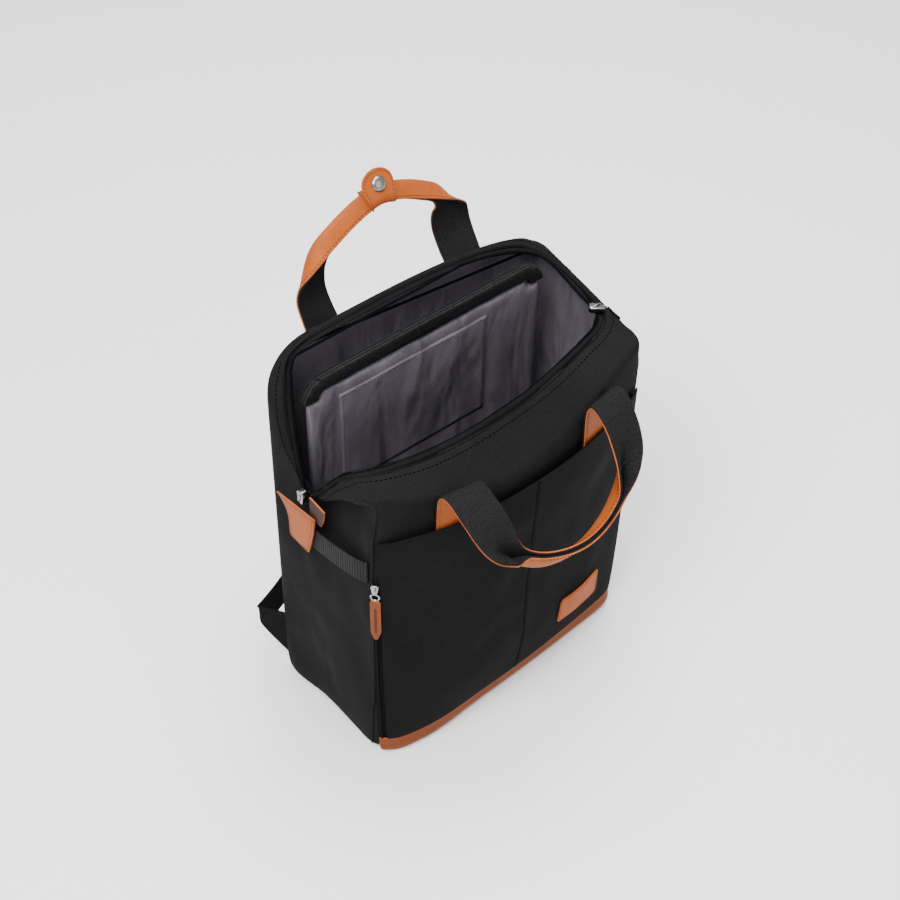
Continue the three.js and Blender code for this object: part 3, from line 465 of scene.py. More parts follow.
def crease_hard_edges(bm, amount=0.9):
    layer = bm.edges.layers.float.get("crease_edge") or bm.edges.layers.float.new("crease_edge")
    for edge in hard_edges(bm):
        edge[layer] = amount


def box_uv(bm):
    """The Weave UV map, in metres, seen from the axis that each face looks along most."""
    layer = bm.loops.layers.uv.get("Weave") or bm.loops.layers.uv.new("Weave")
    for face in bm.faces:
        across = max(range(3), key=lambda axis: abs(face.normal[axis]))
        first, second = [axis for axis in range(3) if axis != across]
        for corner in face.loops:
            corner[layer].uv = (corner.vert.co[first], corner.vert.co[second])


print("edges sharper than", round(math.degrees(sharp_angle)), "degrees are softened")

# %% [markdown]
# ### Finishing a piece
# Every piece ends the same way: its mesh becomes an object at the origin, gets its materials, is
# subdivided and shaded smooth. It then rides on the bag's one body, and the solid that it stands
# for is hidden. One helper does this, so no piece can miss a step.

# %% Helpers that finish a piece
def piece(bm, name, materials, replaced=(), levels=0):
    """Makes a finished object of a bmesh: subdivided, smooth, riding on the bag."""
    mesh = bpy.data.meshes.new(name)
    bm.to_mesh(mesh)
    bm.free()
    made = bpy.data.objects.new(name, mesh)
    bpy.context.scene.collection.objects.link(made)
    for material in materials:
        mesh.materials.append(material)
    if levels:
        rounding = made.modifiers.new("rounding", "SUBSURF")
        rounding.levels = rounding.render_levels = levels
        settle(made)
    for polygon in made.data.polygons:
        polygon.use_smooth = True
    made.data.set_sharp_from_angle(angle=sharp_angle)
    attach(made, "root")
    if replaced:
        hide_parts(*replaced)
    return made


def settle(made):
    """Applies every modifier, so that the mesh itself has the final shape."""
    graph = bpy.context.evaluated_depsgraph_get()
    mesh = bpy.data.meshes.new_from_object(made.evaluated_get(graph))
    made.modifiers.clear()
    made.data = mesh


def surface_of(made):
    """A search tree over a finished piece, for placing things on it."""
    bm = bmesh.new()
    bm.from_mesh(made.data)
    tree = BVHTree.FromBMesh(bm)
    bm.free()
    return tree


print("materials ready for the pieces:", len(bpy.data.materials))

# %% [markdown]
# ## Stitches and piping
# A row of stitches is a repeat of one tiny lozenge of thread, so one mesh with a few faces for
# each stitch is enough. It follows the border of a piece at a set inset. The border is found
# from the finished mesh: the edges where the faces that look outwards stop. A painted stitch
# pattern would be lighter, but it would not follow a curved strap's edge or catch the light.

# %% Find the border of a piece
def borders(made, keep):
    """Closed runs of (point, normal, way inwards) round the faces that keep() accepts."""
    bm = bmesh.new()
    bm.from_mesh(made.data)
    # A list keeps the faces in their own order, so a run begins at the same place each time
    in_order = [face for face in bm.faces if keep(face)]
    chosen = set(in_order)
    steps = {}
    for face in in_order:
        for corner in face.loops:
            beside = [other for other in corner.edge.link_faces if other != face]
            if not any(other in chosen for other in beside):
                steps.setdefault(corner.vert, []).append(corner)
    runs = []
    while steps:
        start = next(iter(steps))
        vert, run = start, []
        while vert in steps:
            corner = steps[vert].pop()
            if not steps[vert]:
                del steps[vert]
            onward = corner.link_loop_next.vert
            way = (onward.co - vert.co).normalized()
            run.append((vert.co.copy(), corner.face.normal.copy(), corner.face.normal.cross(way)))
            vert = onward
        runs.append(run)
    bm.free()
    return sorted(runs, key=len, reverse=True)


print("a border is a run of points, each with its normal and its way inwards")

# %% [markdown]
# ### Moving a run over a surface
# A seam lies some millimetres in from the border. Moving each point straight inwards would lift
# it off a curved piece, so it walks there in short strides and steps back on the surface after
# each one. The run is then divided evenly, because stitches are all of one length.

# %% Walk, ease and divide a run
stride = 0.8 * mm


def inset_run(made, run, inset, lift=0.0):
    """A border moved inwards by a walk over the surface, in short strides that keep to it."""
    surface = surface_of(made)
    strides = max(1, round(inset / stride))
    moved = []
    for i, (place, _, _) in enumerate(run):
        near = (run[i - 1], run[i])
        normal = sum((n for _, n, _ in near), Vector()).normalized()
        way = sum((d for _, _, d in near), Vector()).normalized()
        for _ in range(strides):
            found, slope, _, _ = surface.find_nearest(place + way * (inset / strides))
            if slope.dot(normal) < 0.2:
                break
            place, normal = found, slope
            way = (way - normal * way.dot(normal)).normalized()
        moved.append((place + normal * lift, normal))
    return moved


def eased(run, passes=12):
    """A closed run of (point, normal) with its small kinks averaged away."""
    for _ in range(passes):
        beside = zip(run[-1:] + run[:-1], run, run[1:] + run[:1])
        run = [((a + 2 * b + c) / 4, (na + nb + nc).normalized())
               for (a, na), (b, nb), (c, nc) in beside]
    return run


def resampled(run, spacing, closed=True):
    """Evenly spaced (point, normal, direction) along a run of (point, normal)."""
    points = run + run[:1] if closed else run
    marks, travelled, due = [], 0.0, spacing / 2
    for (a, na), (b, nb) in zip(points, points[1:]):
        length = (b - a).length
        while length > 0 and due <= travelled + length:
            share = (due - travelled) / length
            marks.append((a.lerp(b, share), na.lerp(nb, share), (b - a) / length))
            due += spacing
        travelled += length
    return marks


print("a walk takes strides of", stride / mm, "mm")

# %% [markdown]
# ### Laying small shapes along a run
# A stitch is a small lozenge and a tooth is a box, repeated hundreds of times. Operators slow
# down as a mesh grows, so the shapes are made in small batches that are joined afterwards.

# %% Lay stitches and teeth
batch_size = 40


def lay(bm, marks, size, boxes=False):
    """Adds a small shape at each mark: a lozenge of thread, or a box. Size is along, across, up."""
    for first in range(0, len(marks), batch_size):
        few = bmesh.new()
        for point, normal, direction in marks[first:first + batch_size]:
            out = (normal - direction * normal.dot(direction)).normalized()
            turn = Matrix((direction, out.cross(direction), out)).transposed().to_4x4()
            place = Matrix.Translation(point) @ turn @ Matrix.Diagonal((*size, 1))
            if boxes:
                bmesh.ops.create_cube(few, size=1, matrix=place)
            else:
                bmesh.ops.create_uvsphere(few, u_segments=5, v_segments=4, radius=0.5,
                                          matrix=place @ Matrix.Rotation(math.pi / 2, 4, "Y"))
        mesh = bpy.data.meshes.new("batch")
        few.to_mesh(mesh)
        few.free()
        bm.from_mesh(mesh)
        bpy.data.meshes.remove(mesh)


def stitches(name, runs, finish, length, spacing, width):
    """One piece of thread marks along several open or closed runs of (point, normal)."""
    bm = bmesh.new()
    for run, closed in runs:
        lay(bm, resampled(run, spacing, closed), (length, width, width * 0.75))
    return piece(bm, name, [finish])


print("small shapes are laid in batches of", batch_size)

# %% [markdown]
# ### Strips and cords
# A flat strip is a row of small sections that are bridged, as a maker folds tape along a seam. A
# cord is a curve with a round section, turned into a mesh, which is the quickest round tube that
# follows any line.

# %% Strips and cords
strip_section = ((-1, 0), (-0.85, 1), (0.85, 1), (1, 0))


def ribbon(name, run, width, thick, finish):
    """A flat strip along an open run of (point, normal), thinner towards its two edges."""
    bm = bmesh.new()
    sections = []
    for point, normal, direction in resampled(run, 5 * mm, closed=False):
        across = direction.cross(normal).normalized() * (width / 2)
        corners = [bm.verts.new(point + across * side + normal * (thick * rise))
                   for side, rise in strip_section]
        sections.append([bm.edges.new((corners[k - 1], corners[k])) for k in range(4)])
    for near, far in zip(sections, sections[1:]):
        bmesh.ops.bridge_loops(bm, edges=near + far)
    bmesh.ops.holes_fill(bm, edges=bm.edges, sides=4)
    bmesh.ops.recalc_face_normals(bm, faces=bm.faces)
    return piece(bm, name, [finish])


def tube(name, runs, radius, finish, closed=False):
    """Piping or cord: a curve with a round section, turned into a mesh."""
    curve = bpy.data.curves.new(name, "CURVE")
    curve.dimensions = "3D"
    curve.bevel_depth = radius
    curve.bevel_resolution = 2
    curve.use_fill_caps = not closed
    for points in runs:
        spline = curve.splines.new("POLY")
        spline.points.add(len(points) - 1)
        spline.use_cyclic_u = closed
        for knot, point in zip(spline.points, points):
            knot.co = (*point, 1)
    drawn = bpy.data.objects.new(name + "_curve", curve)
    bpy.context.scene.collection.objects.link(drawn)
    bpy.context.view_layer.update()
    graph = bpy.context.evaluated_depsgraph_get()
    mesh = bpy.data.meshes.new_from_object(drawn.evaluated_get(graph))
    bpy.data.objects.remove(drawn)
    bm = bmesh.new()
    bm.from_mesh(mesh)
    box_uv(bm)
    return piece(bm, name, [finish])


print("strip section corners:", len(strip_section))

# %% [markdown]
# ## The body
# The real body is cut from cloth panels, stuffed only by its lining, so it slackens between its
# seams. The solid gives its bulges. Here the copy is subdivided, its inner wall gets the satin
# lining, and soft folds are pressed into the cloth by moving points with a noise function. Cloth
# physics could make folds too, but they would fall in other places than in the photo, and the
# bag would need its frame of seams simulated as well.

# %% Tell outside from inside, and make soft folds
bag_centre = Vector((0, 0, 0.2))


def looks_out(face):
    return face.normal.dot(face.calc_center_median() - bag_centre) > 0


def outer_cloth(face):
    """The outside without the cut rim, which looks up into the mouth."""
    middle = face.calc_center_median()
    inward = Vector((-middle.x, -middle.y * 0.6, 0)).normalized()
    return looks_out(face) and face.normal.dot(inward) < 0.35


def smooth_step(value, low, high):
    share = min(max((value - low) / (high - low), 0), 1)
    return share * share * (3 - 2 * share)


def slack(point, seed=0.0, stretch=(1, 1, 0.35), scale=26.0):
    """A fold depth from 0 to 1: long soft creases, running mostly up and down."""
    place = Vector((point.x * stretch[0], point.y * stretch[1], point.z * stretch[2])) * scale
    place.z += seed
    broad = noise.noise(place) * 0.5 + 0.5
    fine = noise.noise(place * 2.3 + Vector((7, 3, 1))) * 0.5 + 0.5
    return smooth_step(0.65 * broad + 0.35 * fine, 0.3, 0.75)


print("a fold's depth at the front:", round(slack(Vector((0, -0.08, 0.2))), 2))

# %% [markdown]
# ### The ridge of the left shoulder
# Where the zip's left end pulls the lip down, the cloth folds over in a ridge from the front
# corner back to the slider, and falls in below it. The ridge's line was read from the photo with
# the camera above, and the cloth is pushed in under it and out along it.

# %% The left shoulder's ridge
# As (y, z) in millimetres, from the corner back to the slider
shoulder_ridge = [(-76, 368), (-55, 355), (-31, 339), (-1, 312), (18, 301)]


def ridge_height(y):
    legs = list(zip(shoulder_ridge, shoulder_ridge[1:]))
    for (near, high), (far, low) in legs:
        if y <= far * mm:
            break
    return (high + (low - high) * (y / mm - near) / (far - near)) * mm


def shoulder_fall(point):
    """The left shoulder's cloth falls in below the ridge from the corner to the slider."""
    drop = ridge_height(point.y) - point.z
    under = smooth_step(drop, 0, 7 * mm) * (1 - smooth_step(drop, 9 * mm, 48 * mm))
    ridge = math.exp(-((drop + 4 * mm) / (5 * mm)) ** 2)
    run = smooth_step(point.y, -0.086, -0.066) * (1 - smooth_step(point.y, -0.004, 0.02))
    return smooth_step(-point.x, 0.125, 0.14) * run * (9 * mm * under - 2.5 * mm * ridge)


print("ridge points:", len(shoulder_ridge))

# %% Where the body's cloth and lining give way
side_fold = 5 * mm
lip_fold = 1.6 * mm
lining_fold = 3.5 * mm


def body_fold(point):
    """How far the body's cloth is pressed in at a point."""
    side = smooth_step(abs(point.x), 0.135, 0.15) * smooth_step(point.y, -0.078, -0.05)
    side *= 1 - smooth_step(point.y, 0.05, 0.072)
    side *= smooth_step(point.z, 0.01, 0.06) * (1 - smooth_step(point.z, 0.33, 0.37))
    lip = smooth_step(point.z, 0.325, 0.345) * smooth_step(-point.y, 0.035, 0.06)
    side_depth = side_fold * side * slack(point, 0, (1, 0.9, 0.5), 19.0)
    lip_depth = lip_fold * lip * slack(point, 4.0, (0.6, 1, 1), 22.0)
    return side_depth + shoulder_fall(point) + lip_depth


def lining_sag(point):
    """How far the loose lining hangs off the wall inside."""
    rise = smooth_step(point.z, 0.03, 0.09) * (1 - smooth_step(point.z, 0.33, 0.385))
    return lining_fold * rise * slack(point, 15.0, (1, 1, 0.45), 34.0)


print("fold depths in mm:", [round(depth / mm, 1) for depth in (side_fold, lip_fold, lining_fold)])

# %% [markdown]
# ### Putting the body together
# The outer cloth is folded in over the rim and sewn, so the first stretch inside the mouth is
# black too. A search tree finds the faces that lie near the rim.

# %% Build the body
rim_hem = 13 * mm


def hem_inside(made):
    """Gives the inner faces near the rim the outer cloth, which is folded in and sewn there."""
    rim = borders(made, outer_cloth)[0]
    tree = KDTree(len(rim))
    for i, (point, _, _) in enumerate(rim):
        tree.insert(point, i)
    tree.balance()
    for polygon in made.data.polygons:
        if polygon.material_index == 1 and tree.find(polygon.center)[2] < rim_hem:
            polygon.material_index = 0


def build_body():
    bm = solid_copy("body_shell")
    crease_hard_edges(bm, 0.8)
    for face in bm.faces:
        face.material_index = 0 if looks_out(face) else 1
    box_uv(bm)
    made = piece(bm, "bag_body", [shell_cloth, lining_cloth], ["body_shell"], levels=2)
    lined = {v for face in made.data.polygons if face.material_index == 1 for v in face.vertices}
    outside = {v for face in made.data.polygons if face.material_index == 0 for v in face.vertices}
    for vert in made.data.vertices:
        inward = Vector((-vert.co.x, -vert.co.y * 0.5, 0)).normalized()
        sag = lining_sag(vert.co) if vert.index in lined - outside else 0
        vert.co += inward * (body_fold(vert.co) + sag)
    made.data.update()
    hem_inside(made)
    return made


body = build_body()
body_surface = surface_of(body)
print("body faces:", len(body.data.polygons))

# %% [markdown]
# ## Seams of the body
# Panels meet in seams: a cord of piping runs up each front corner, and a row of stitches holds
# the lip's hem. The piping is a thin round tube laid on the finished surface. The lip's stitches
# follow the border of the body's outer faces, so they stay at the same distance from the zip.

# %% Lay piping and the lip's stitches
def on_body(guide, lift):
    """The nearest point of the body to a guide point, raised off the cloth."""
    place, normal, _, _ = body_surface.find_nearest(guide)
    outward = normal if normal.dot(place - bag_centre) > 0 else -normal
    return place + outward * lift, outward


def guide_line(corners, count):
    """Points along straight legs between corners, in metres from corners in millimetres."""
    legs = list(zip(corners, corners[1:]))
    total = sum((Vector(b) - Vector(a)).length for a, b in legs)
    points = []
    for a, b in legs:
        a, b = Vector(a) * mm, Vector(b) * mm
        steps = max(2, round(count * (b - a).length / (total * mm)))
        points += [a.lerp(b, i / steps) for i in range(steps)]
    return points + [Vector(legs[-1][1]) * mm]


# The two front corners from foot to shoulder, as (x, y, z) in millimetres
left_corner = [(-158, -66, 8), (-158, -72, 100), (-157, -74, 220), (-156, -77, 330), (-154, -78, 372)]
right_corner = [(158, -62, 8), (158, -68, 100), (159, -72, 220), (160, -76, 330), (160, -78, 372)]
piping_radius = 1.2 * mm


def piping_lift(height):
    """The cord stands off the cloth, and its top end sinks into the fold."""
    return 0.7 * mm - 2.2 * mm * smooth_step(height, 0.348, 0.366)


piping_runs = [[on_body(p, piping_lift(p.z))[0] for p in guide_line(corners, 60)]
               for corners in (left_corner, right_corner)]
tube("corner_piping", piping_runs, piping_radius, shell_cloth)
print("piping points:", [len(run) for run in piping_runs])

# %% Stitch the lip's hem
hem_inset = 8.5 * mm
on_top = 0.1 * mm
lip = borders(body, outer_cloth)[0]
hem_run = [on_body(point, 0.15 * mm) for point, _ in eased(inset_run(body, lip, hem_inset))]
# The lip's stitches are large and near black: real thread that is also the painted shade of the groove
# that the hem presses in.
hem_stitches_and_shade = stitches("lip_stitches_and_seam_shade", [(hem_run, True)], black_thread_and_seam_shade,
                        length=3.2 * mm, spacing=4.4 * mm, width=1.1 * mm)
lip_edge = [point for point, _ in inset_run(body, lip, 1.2 * mm, on_top)]
tube("lip_edge_cord", [lip_edge], 0.6 * mm, tape_cloth, closed=True)
print("lip border points:", len(lip), "stitch faces:", len(hem_stitches_and_shade.data.polygons))

# %% [markdown]
# ## The zip
# A zip is two woven tapes with a chain of small teeth along their free edges. The tapes are
# copies of the solid's two strips. The teeth are one repeated block, laid along the edge of each
# tape that faces the mouth. On the right the zip is still closed and runs down the side, so its
# teeth lie in the middle of the tape there.

# %% Dress a node
def is_cut_side(face):
    """A long narrow face beside a sharp edge, such as the cut side of leather."""
    longest = max(edge.calc_length() for edge in face.edges)
    return (narrowest(face) < thin_side and any(is_sharp(edge) for edge in face.edges)
            and face.calc_area() < longest * thin_side)


def dress(node, name, materials, levels=2, bevel=True, edge_index=None):
    """A rounded copy of a node; its cut sides may take a second material."""
    bm = solid_copy(node)
    if edge_index is not None:
        for face in bm.faces:
            face.material_index = edge_index if is_cut_side(face) else 0
    if bevel:
        soft_bevel(bm)
    crease_hard_edges(bm)
    box_uv(bm)
    return piece(bm, name, materials, [node], levels)


print("cut sides are narrower than", round(thin_side / mm, 1), "mm")

# %% Build the mouth's tapes and teeth
tooth_spacing = 2.1 * mm


def mouth_edges(tape):
    """The run along the tape's edge that faces into the mouth."""
    top = borders(tape, looks_out)[0]
    run = []
    for point, normal, inward in top:
        away = Vector((point.x, point.y, 0))
        if inward.dot(away) > 0.3 * away.length:
            run.append((point, normal))
    return run


teeth = bmesh.new()
for node, name in (("zip_front", "front_zip_tape"), ("zip_back", "back_zip_tape")):
    tape = dress(node, name, [tape_cloth], levels=1, bevel=False)
    marks = resampled(mouth_edges(tape), tooth_spacing, closed=False)
    lay(teeth, marks, (1.2 * mm, 2.6 * mm, 1.7 * mm), boxes=True)
closed_tape = dress("zip_closed_right", "closed_zip_tape", [tape_cloth], levels=1)
tape_surface = surface_of(closed_tape)
print("teeth:", len(teeth.faces) // 6)

# %% Teeth of the closed run
closed_low, closed_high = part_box("zip_closed_right")
top = closed_high.z - 3 * mm
foot = closed_low.z + 1 * mm
last_mark = 33
closed_run = []
for i in range(last_mark + 1):
    height = top + (foot - top) * i / last_mark
    near = [v.co.y for v in closed_tape.data.vertices if abs(v.co.z - height) < 4 * mm]
    middle = (min(near) + max(near)) / 2
    place, normal, _, _ = tape_surface.ray_cast(Vector((0.3, middle, height)), Vector((-1, 0, 0)))
    if place is not None:
        closed_run.append((place + normal * 0.3 * mm, normal))
closed_marks = resampled(closed_run, tooth_spacing, closed=False)
lay(teeth, closed_marks, (1.2 * mm, 4 * mm, 1.4 * mm), boxes=True)
piece(teeth, "zip_teeth", [zip_teeth_finish])
print("teeth of the closed run:", len(closed_marks))

# %% [markdown]
# ## The front pocket, its band and the label patch
# The slip pocket is one cloth panel sewn over the front, with a seam right of the middle and a
# leather band along the foot. The seam is a narrow groove: planes cut the panel beside it, and
# the middle row of points is pressed in. A bought fabric texture would show a line, but not the
# way that the cloth swells on both sides of a seam.

# %% Build the pocket
seam_x = 6 * mm
seam_reach = 2.2 * mm
seam_depth = 1.3 * mm
beside_seam = 5 * mm
pocket_fold = 3.4 * mm


def pocket_swell(point):
    """How far the pocket's cloth stands out at a point; nothing at its borders."""
    rise = smooth_step(point.z, 0.03, 0.09) * (1 - smooth_step(point.z, 0.27, 0.312))
    run = 1 - smooth_step(abs(point.x), 0.11, 0.145)
    return pocket_fold * rise * run * slack(point, 9.0, (1, 1, 0.7), 17.0)


def looks_forward(face):
    return face.normal.y < -0.35


def build_pocket():
    bm = solid_copy("front_pocket")
    soft_bevel(bm, 0.5 * mm)
    crease_hard_edges(bm)
    box_uv(bm)
    # The pocket is dressed in the darker cloth, whose tones are painted shade.
    made = piece(bm, "slip_pocket", [shaded_pocket_cloth], ["front_pocket"], levels=2)
    bm = bmesh.new()
    bm.from_mesh(made.data)
    for offset in (-2, -1, 0, 1, 2):
        bmesh.ops.bisect_plane(
            bm, geom=bm.verts[:] + bm.edges[:] + bm.faces[:], dist=0.001 * mm,
            plane_co=(seam_x + offset * seam_reach / 2, 0, 0), plane_no=(1, 0, 0))
    for vert in bm.verts:
        vert.co.y -= pocket_swell(vert.co)
        off = abs(vert.co.x - seam_x)
        if vert.normal.y < -0.3:
            vert.co.y += seam_depth * (1 - min(off / seam_reach, 1)) ** 1.5
            vert.co.y -= 0.5 * mm * (1 - abs(2 * min(off / beside_seam, 1) - 1))
    bm.to_mesh(made.data)
    bm.free()
    return made


pocket = build_pocket()
print("pocket faces:", len(pocket.data.polygons))

# %% [markdown]
# ### The pocket's zip
# The pocket also opens at its left edge, with a zip that runs down beside the corner's piping. It
# is closed, so only a dark tape and the coil along its middle show. Both are laid on the body
# along one line.

# %% Lay the pocket's zip
# From the foot up to the slider, as (x, y, z) in millimetres
side_zip_corners = [(-151, -77, 22), (-154, -77, 120), (-155, -77.5, 252)]
side_zip_line = guide_line(side_zip_corners, 40)
side_tape_and_shade = [on_body(point, on_top) for point in side_zip_line]
side_coil = [on_body(point, 1.2 * mm)[0] for point in side_zip_line]
# The tape takes the teeth's near black instead of the tape cloth: a real zip tape that also paints the
# shade in the seam between the piping and the pocket.
ribbon("pocket_zip_tape_and_shade", side_tape_and_shade, 8 * mm, 0.5 * mm, zip_teeth_finish)
tube("pocket_zip_coil", [side_coil], 1.3 * mm, zip_teeth_finish)
print("points down the pocket's zip:", len(side_zip_line))

# %% [markdown]
# ### Band and patch
# The leather band's foot curls out a little where the bag's weight rests on it, so its lower
# points are pulled forward. The patch is sewn on the pocket, so it swells with the same function
# as the cloth below it. The real patch carries a name, and this one is bare.

# %% Build the leather band and the patch
foot_curl = 2.6 * mm
band = dress("base_band", "base_band_leather", [band_and_shaded_pull_leather, leather_edge],
             edge_index=1)
for vert in band.data.vertices:
    if vert.normal.y < -0.1:
        vert.co.y -= foot_curl * (1 - smooth_step(vert.co.z, 0.009, 0.022))


def build_patch():
    bm = solid_copy("label_patch")
    bmesh.ops.subdivide_edges(bm, edges=bm.edges, cuts=1, use_grid_fill=True)
    for vert in bm.verts:
        vert.co.y -= pocket_swell(vert.co)
    soft_bevel(bm, 0.4 * mm)
    crease_hard_edges(bm, 0.6)
    return piece(bm, "front_patch", [tan_leather], ["label_patch"], levels=1)


patch = build_patch()
patch_run = inset_run(patch, borders(patch, looks_forward)[0], 2.2 * mm, on_top)
stitches("patch_stitches", [(patch_run, True)], dark_thread,
         length=2 * mm, spacing=3 * mm, width=0.6 * mm)
print("band faces:", len(band.data.polygons), "points round the patch:", len(patch_run))

# %% [markdown]
# ## The carrying handles
# Each handle is black webbing lined with leather. At the grip it is folded lengthwise and sewn,
# so the leather is outside and the webbing is a dark line inside. The two layers are rounded
# copies of the solid's layers. The webbing's ribs must follow the strap through its bends, so it
# gets a UV map that measures the way along it: rows of points are counted from one end, and the
# distance between rows adds up. Object coordinates would draw straight ribs through the loop.

# %% Measure the way along a strap
def run_uv(bm, seeds):
    """The Run UV map, whose first value is the distance along the strap from its seed row."""
    seen, rows = set(seeds), [list(seeds)]
    while rows[-1]:
        onward = {e.other_vert(v) for v in rows[-1] for e in v.link_edges} - seen
        seen |= onward
        rows.append(list(onward))
    middle, total, run = None, 0.0, {}
    for row in rows[:-1]:
        centre = sum((v.co for v in row), Vector()) / len(row)
        total += (centre - middle).length if middle else 0.0
        middle = centre
        for vert in row:
            run[vert] = (total, (vert.co - centre).length)
    layer = bm.loops.layers.uv.new("Run")
    for face in bm.faces:
        for corner in face.loops:
            corner[layer].uv = run.get(corner.vert, (0, 0))


end_points = 8


def strap_end(bm, key):
    """The points at a strap's end: those that the key puts first."""
    return sorted(bm.verts, key=key)[:end_points]


print("points in a strap's end:", end_points)

# %% Build a strap
strap_side = 2.2 * mm


def is_strap_side(face):
    """The cut side of a strap: thin, with a sharp edge along both of its borders."""
    return narrowest(face) < strap_side and sum(is_sharp(edge) for edge in face.edges) >= 2


def build_strap(node, name, materials, end_key, edge_index=None):
    bm = solid_copy(node)
    run_uv(bm, strap_end(bm, end_key))
    if edge_index is not None:
        for face in bm.faces:
            face.material_index = edge_index if is_strap_side(face) else 0
    soft_bevel(bm, 0.3 * mm)
    crease_hard_edges(bm)
    return piece(bm, name, materials, [node], levels=2)


print("strap sides are narrower than", round(strap_side / mm, 1), "mm")

# %% Build both handles
# The front handle's loop begins in front of this y, and its ends lie behind it
front_loop_y = -104 * mm
tan_and_edge = [tan_leather, leather_edge]


def left_front_end(vert):
    """A key that puts the lowest points of the left end first."""
    return vert.co.z + (1 if vert.co.x > 0 or vert.co.y < front_loop_y else 0)


def left_back_end(vert):
    return vert.co.z + (1 if vert.co.x > 0 else 0)


handles = {}
for side, end_key in (("front", left_front_end), ("back", left_back_end)):
    web = build_strap(f"{side}_handle_webbing", f"{side}_handle_web", [handle_webbing],
                      end_key)
    hide = build_strap(f"{side}_handle_leather", f"{side}_handle_hide", tan_and_edge,
                       end_key, edge_index=1)
    handles[side] = (web, hide)
    print(side, "handle faces:", len(web.data.polygons) + len(hide.data.polygons))

# %% [markdown]
# ### The handles' stitches
# Stitches show on the leather's outer side only. A ray from each face finds out whether the
# webbing lies behind it, and the long borders of the faces that are free get the stitches.

# %% Stitch the handles' leather
layer_reach = 1.6 * mm


def away_from(neighbour):
    """Accepts the broad faces of a layer that look away from its neighbour."""
    tree = surface_of(neighbour)

    def free(face):
        place, _, _, _ = tree.ray_cast(face.calc_center_median(), face.normal, layer_reach)
        return face.material_index == 0 and place is None and face.calc_area() > 0
    return free


for side, (web, hide) in handles.items():
    longest = [run for run in borders(hide, away_from(web)) if len(run) > 60]
    seams = [(inset_run(hide, run, 2.6 * mm, on_top), True) for run in longest]
    stitches(f"{side}_handle_stitches", seams, dark_thread,
             length=2.4 * mm, spacing=3.6 * mm, width=0.65 * mm)
    print(side, "stitch runs:", [len(run) for run in longest])

# %% [markdown]
# ## Keeper and snap
# A leather strip is wrapped round the middle of the back handle and closed with a domed snap. The
# strip is a rounded copy with a lighter cut edge and stitches round its front. A plain band made
# from a bent plane would need the same bends found again by hand.

# %% Build the keeper
def keeper_front(face):
    return face.material_index == 0 and face.normal.y < -0.4


keeper = dress("keeper", "handle_keeper", tan_and_edge, levels=1, edge_index=1)
keeper_runs = [run for run in borders(keeper, keeper_front) if len(run) > 20][:1]
keeper_seams = [(inset_run(keeper, run, 2.4 * mm, on_top), True) for run in keeper_runs]
stitches("keeper_stitches", keeper_seams, dark_thread,
         length=2.2 * mm, spacing=3.3 * mm, width=0.6 * mm)
print("keeper faces:", len(keeper.data.polygons), "stitch runs:", len(keeper_runs))

# %% [markdown]
# ### The snap
# The snap's cap is a pressed dome. A half profile is spun round its axis, which is how a lathe or
# a press makes the real one. A squashed sphere would lack the small rim.

# %% Build the snap
# The half profile from the middle of the dome to its rim, as shares of the radius and the height
snap_profile = [(0, 1), (0.3, 0.97), (0.58, 0.86), (0.8, 0.66), (0.94, 0.4), (1, 0.16), (0.98, 0)]
snap_height = 2.6 * mm


def build_snap():
    """A domed cap, spun round its axis and set where the solid's cap is."""
    flat = solid_copy("snap_cap")
    middle = sum((v.co for v in flat.verts), Vector()) / len(flat.verts)
    largest = max(flat.faces, key=lambda face: face.calc_area() if face.normal.y > 0 else 0)
    axis = -largest.normal
    offsets = [v.co - middle for v in flat.verts]
    radius = max((offset - axis * offset.dot(axis)).length for offset in offsets)
    base = middle + axis * min(offset.dot(axis) for offset in offsets)
    flat.free()
    bm = bmesh.new()
    verts = [bm.verts.new((r * radius, 0, h * snap_height)) for r, h in snap_profile]
    edges = [bm.edges.new(pair) for pair in zip(verts, verts[1:])]
    bmesh.ops.spin(bm, geom=verts + edges, cent=(0, 0, 0), axis=(0, 0, 1), angle=math.tau, steps=40,
                   use_merge=True)
    bmesh.ops.remove_doubles(bm, verts=bm.verts, dist=0.001 * mm)
    bmesh.ops.holes_fill(bm, edges=bm.edges, sides=0)
    bmesh.ops.recalc_face_normals(bm, faces=bm.faces)
    bmesh.ops.transform(bm, verts=bm.verts, matrix=Matrix.Translation(base)
                        @ axis.to_track_quat("Z", "Y").to_matrix().to_4x4())
    print("snap radius mm:", round(radius / mm, 1), "middle:", [round(v, 3) for v in middle])
    return piece(bm, "snap_dome", [snap_steel], ["snap_cap"])


build_snap()

# %% [markdown]
# ## Side straps and their tabs
# A ribbed strap is sewn into the front corner seam and runs back to a two-leaf leather tab. Its
# ribs run across the strap and are coarse enough to see, so they are a bump pattern with a
# pitch of about three millimetres, painted darker in their valleys as shade. The tab's outer leaf
# has a lighter cut edge and a row of stitches round it, and the inner leaf is seen from its dark
# flesh side, which lies in shade and is painted darker still as painted shade.

# %% Build straps and tabs
for side, away in (("left", -1), ("right", 1)):
    dress(f"side_strap_{side}", f"ribbed_strap_{side}", [strap_webbing])
    tab = dress(f"side_tab_{side}", f"tab_outer_{side}", tan_and_edge, edge_index=1)
    # The inner leaf's very dark colour is its flesh side, darkened further as painted shade.
    dress(f"side_tab_inner_{side}", f"tab_inner_{side}", [dark_flesh_and_shade_leather, leather_edge],
          edge_index=1)
    run = borders(tab, lambda face: face.material_index == 0 and face.normal.x * away > 0.3)[0]
    stitches(f"tab_stitches_{side}", [(inset_run(tab, run, 2.4 * mm, on_top), True)], dark_thread,
             length=2.2 * mm, spacing=3.4 * mm, width=0.6 * mm)
    print(side, "tab faces:", len(tab.data.polygons))

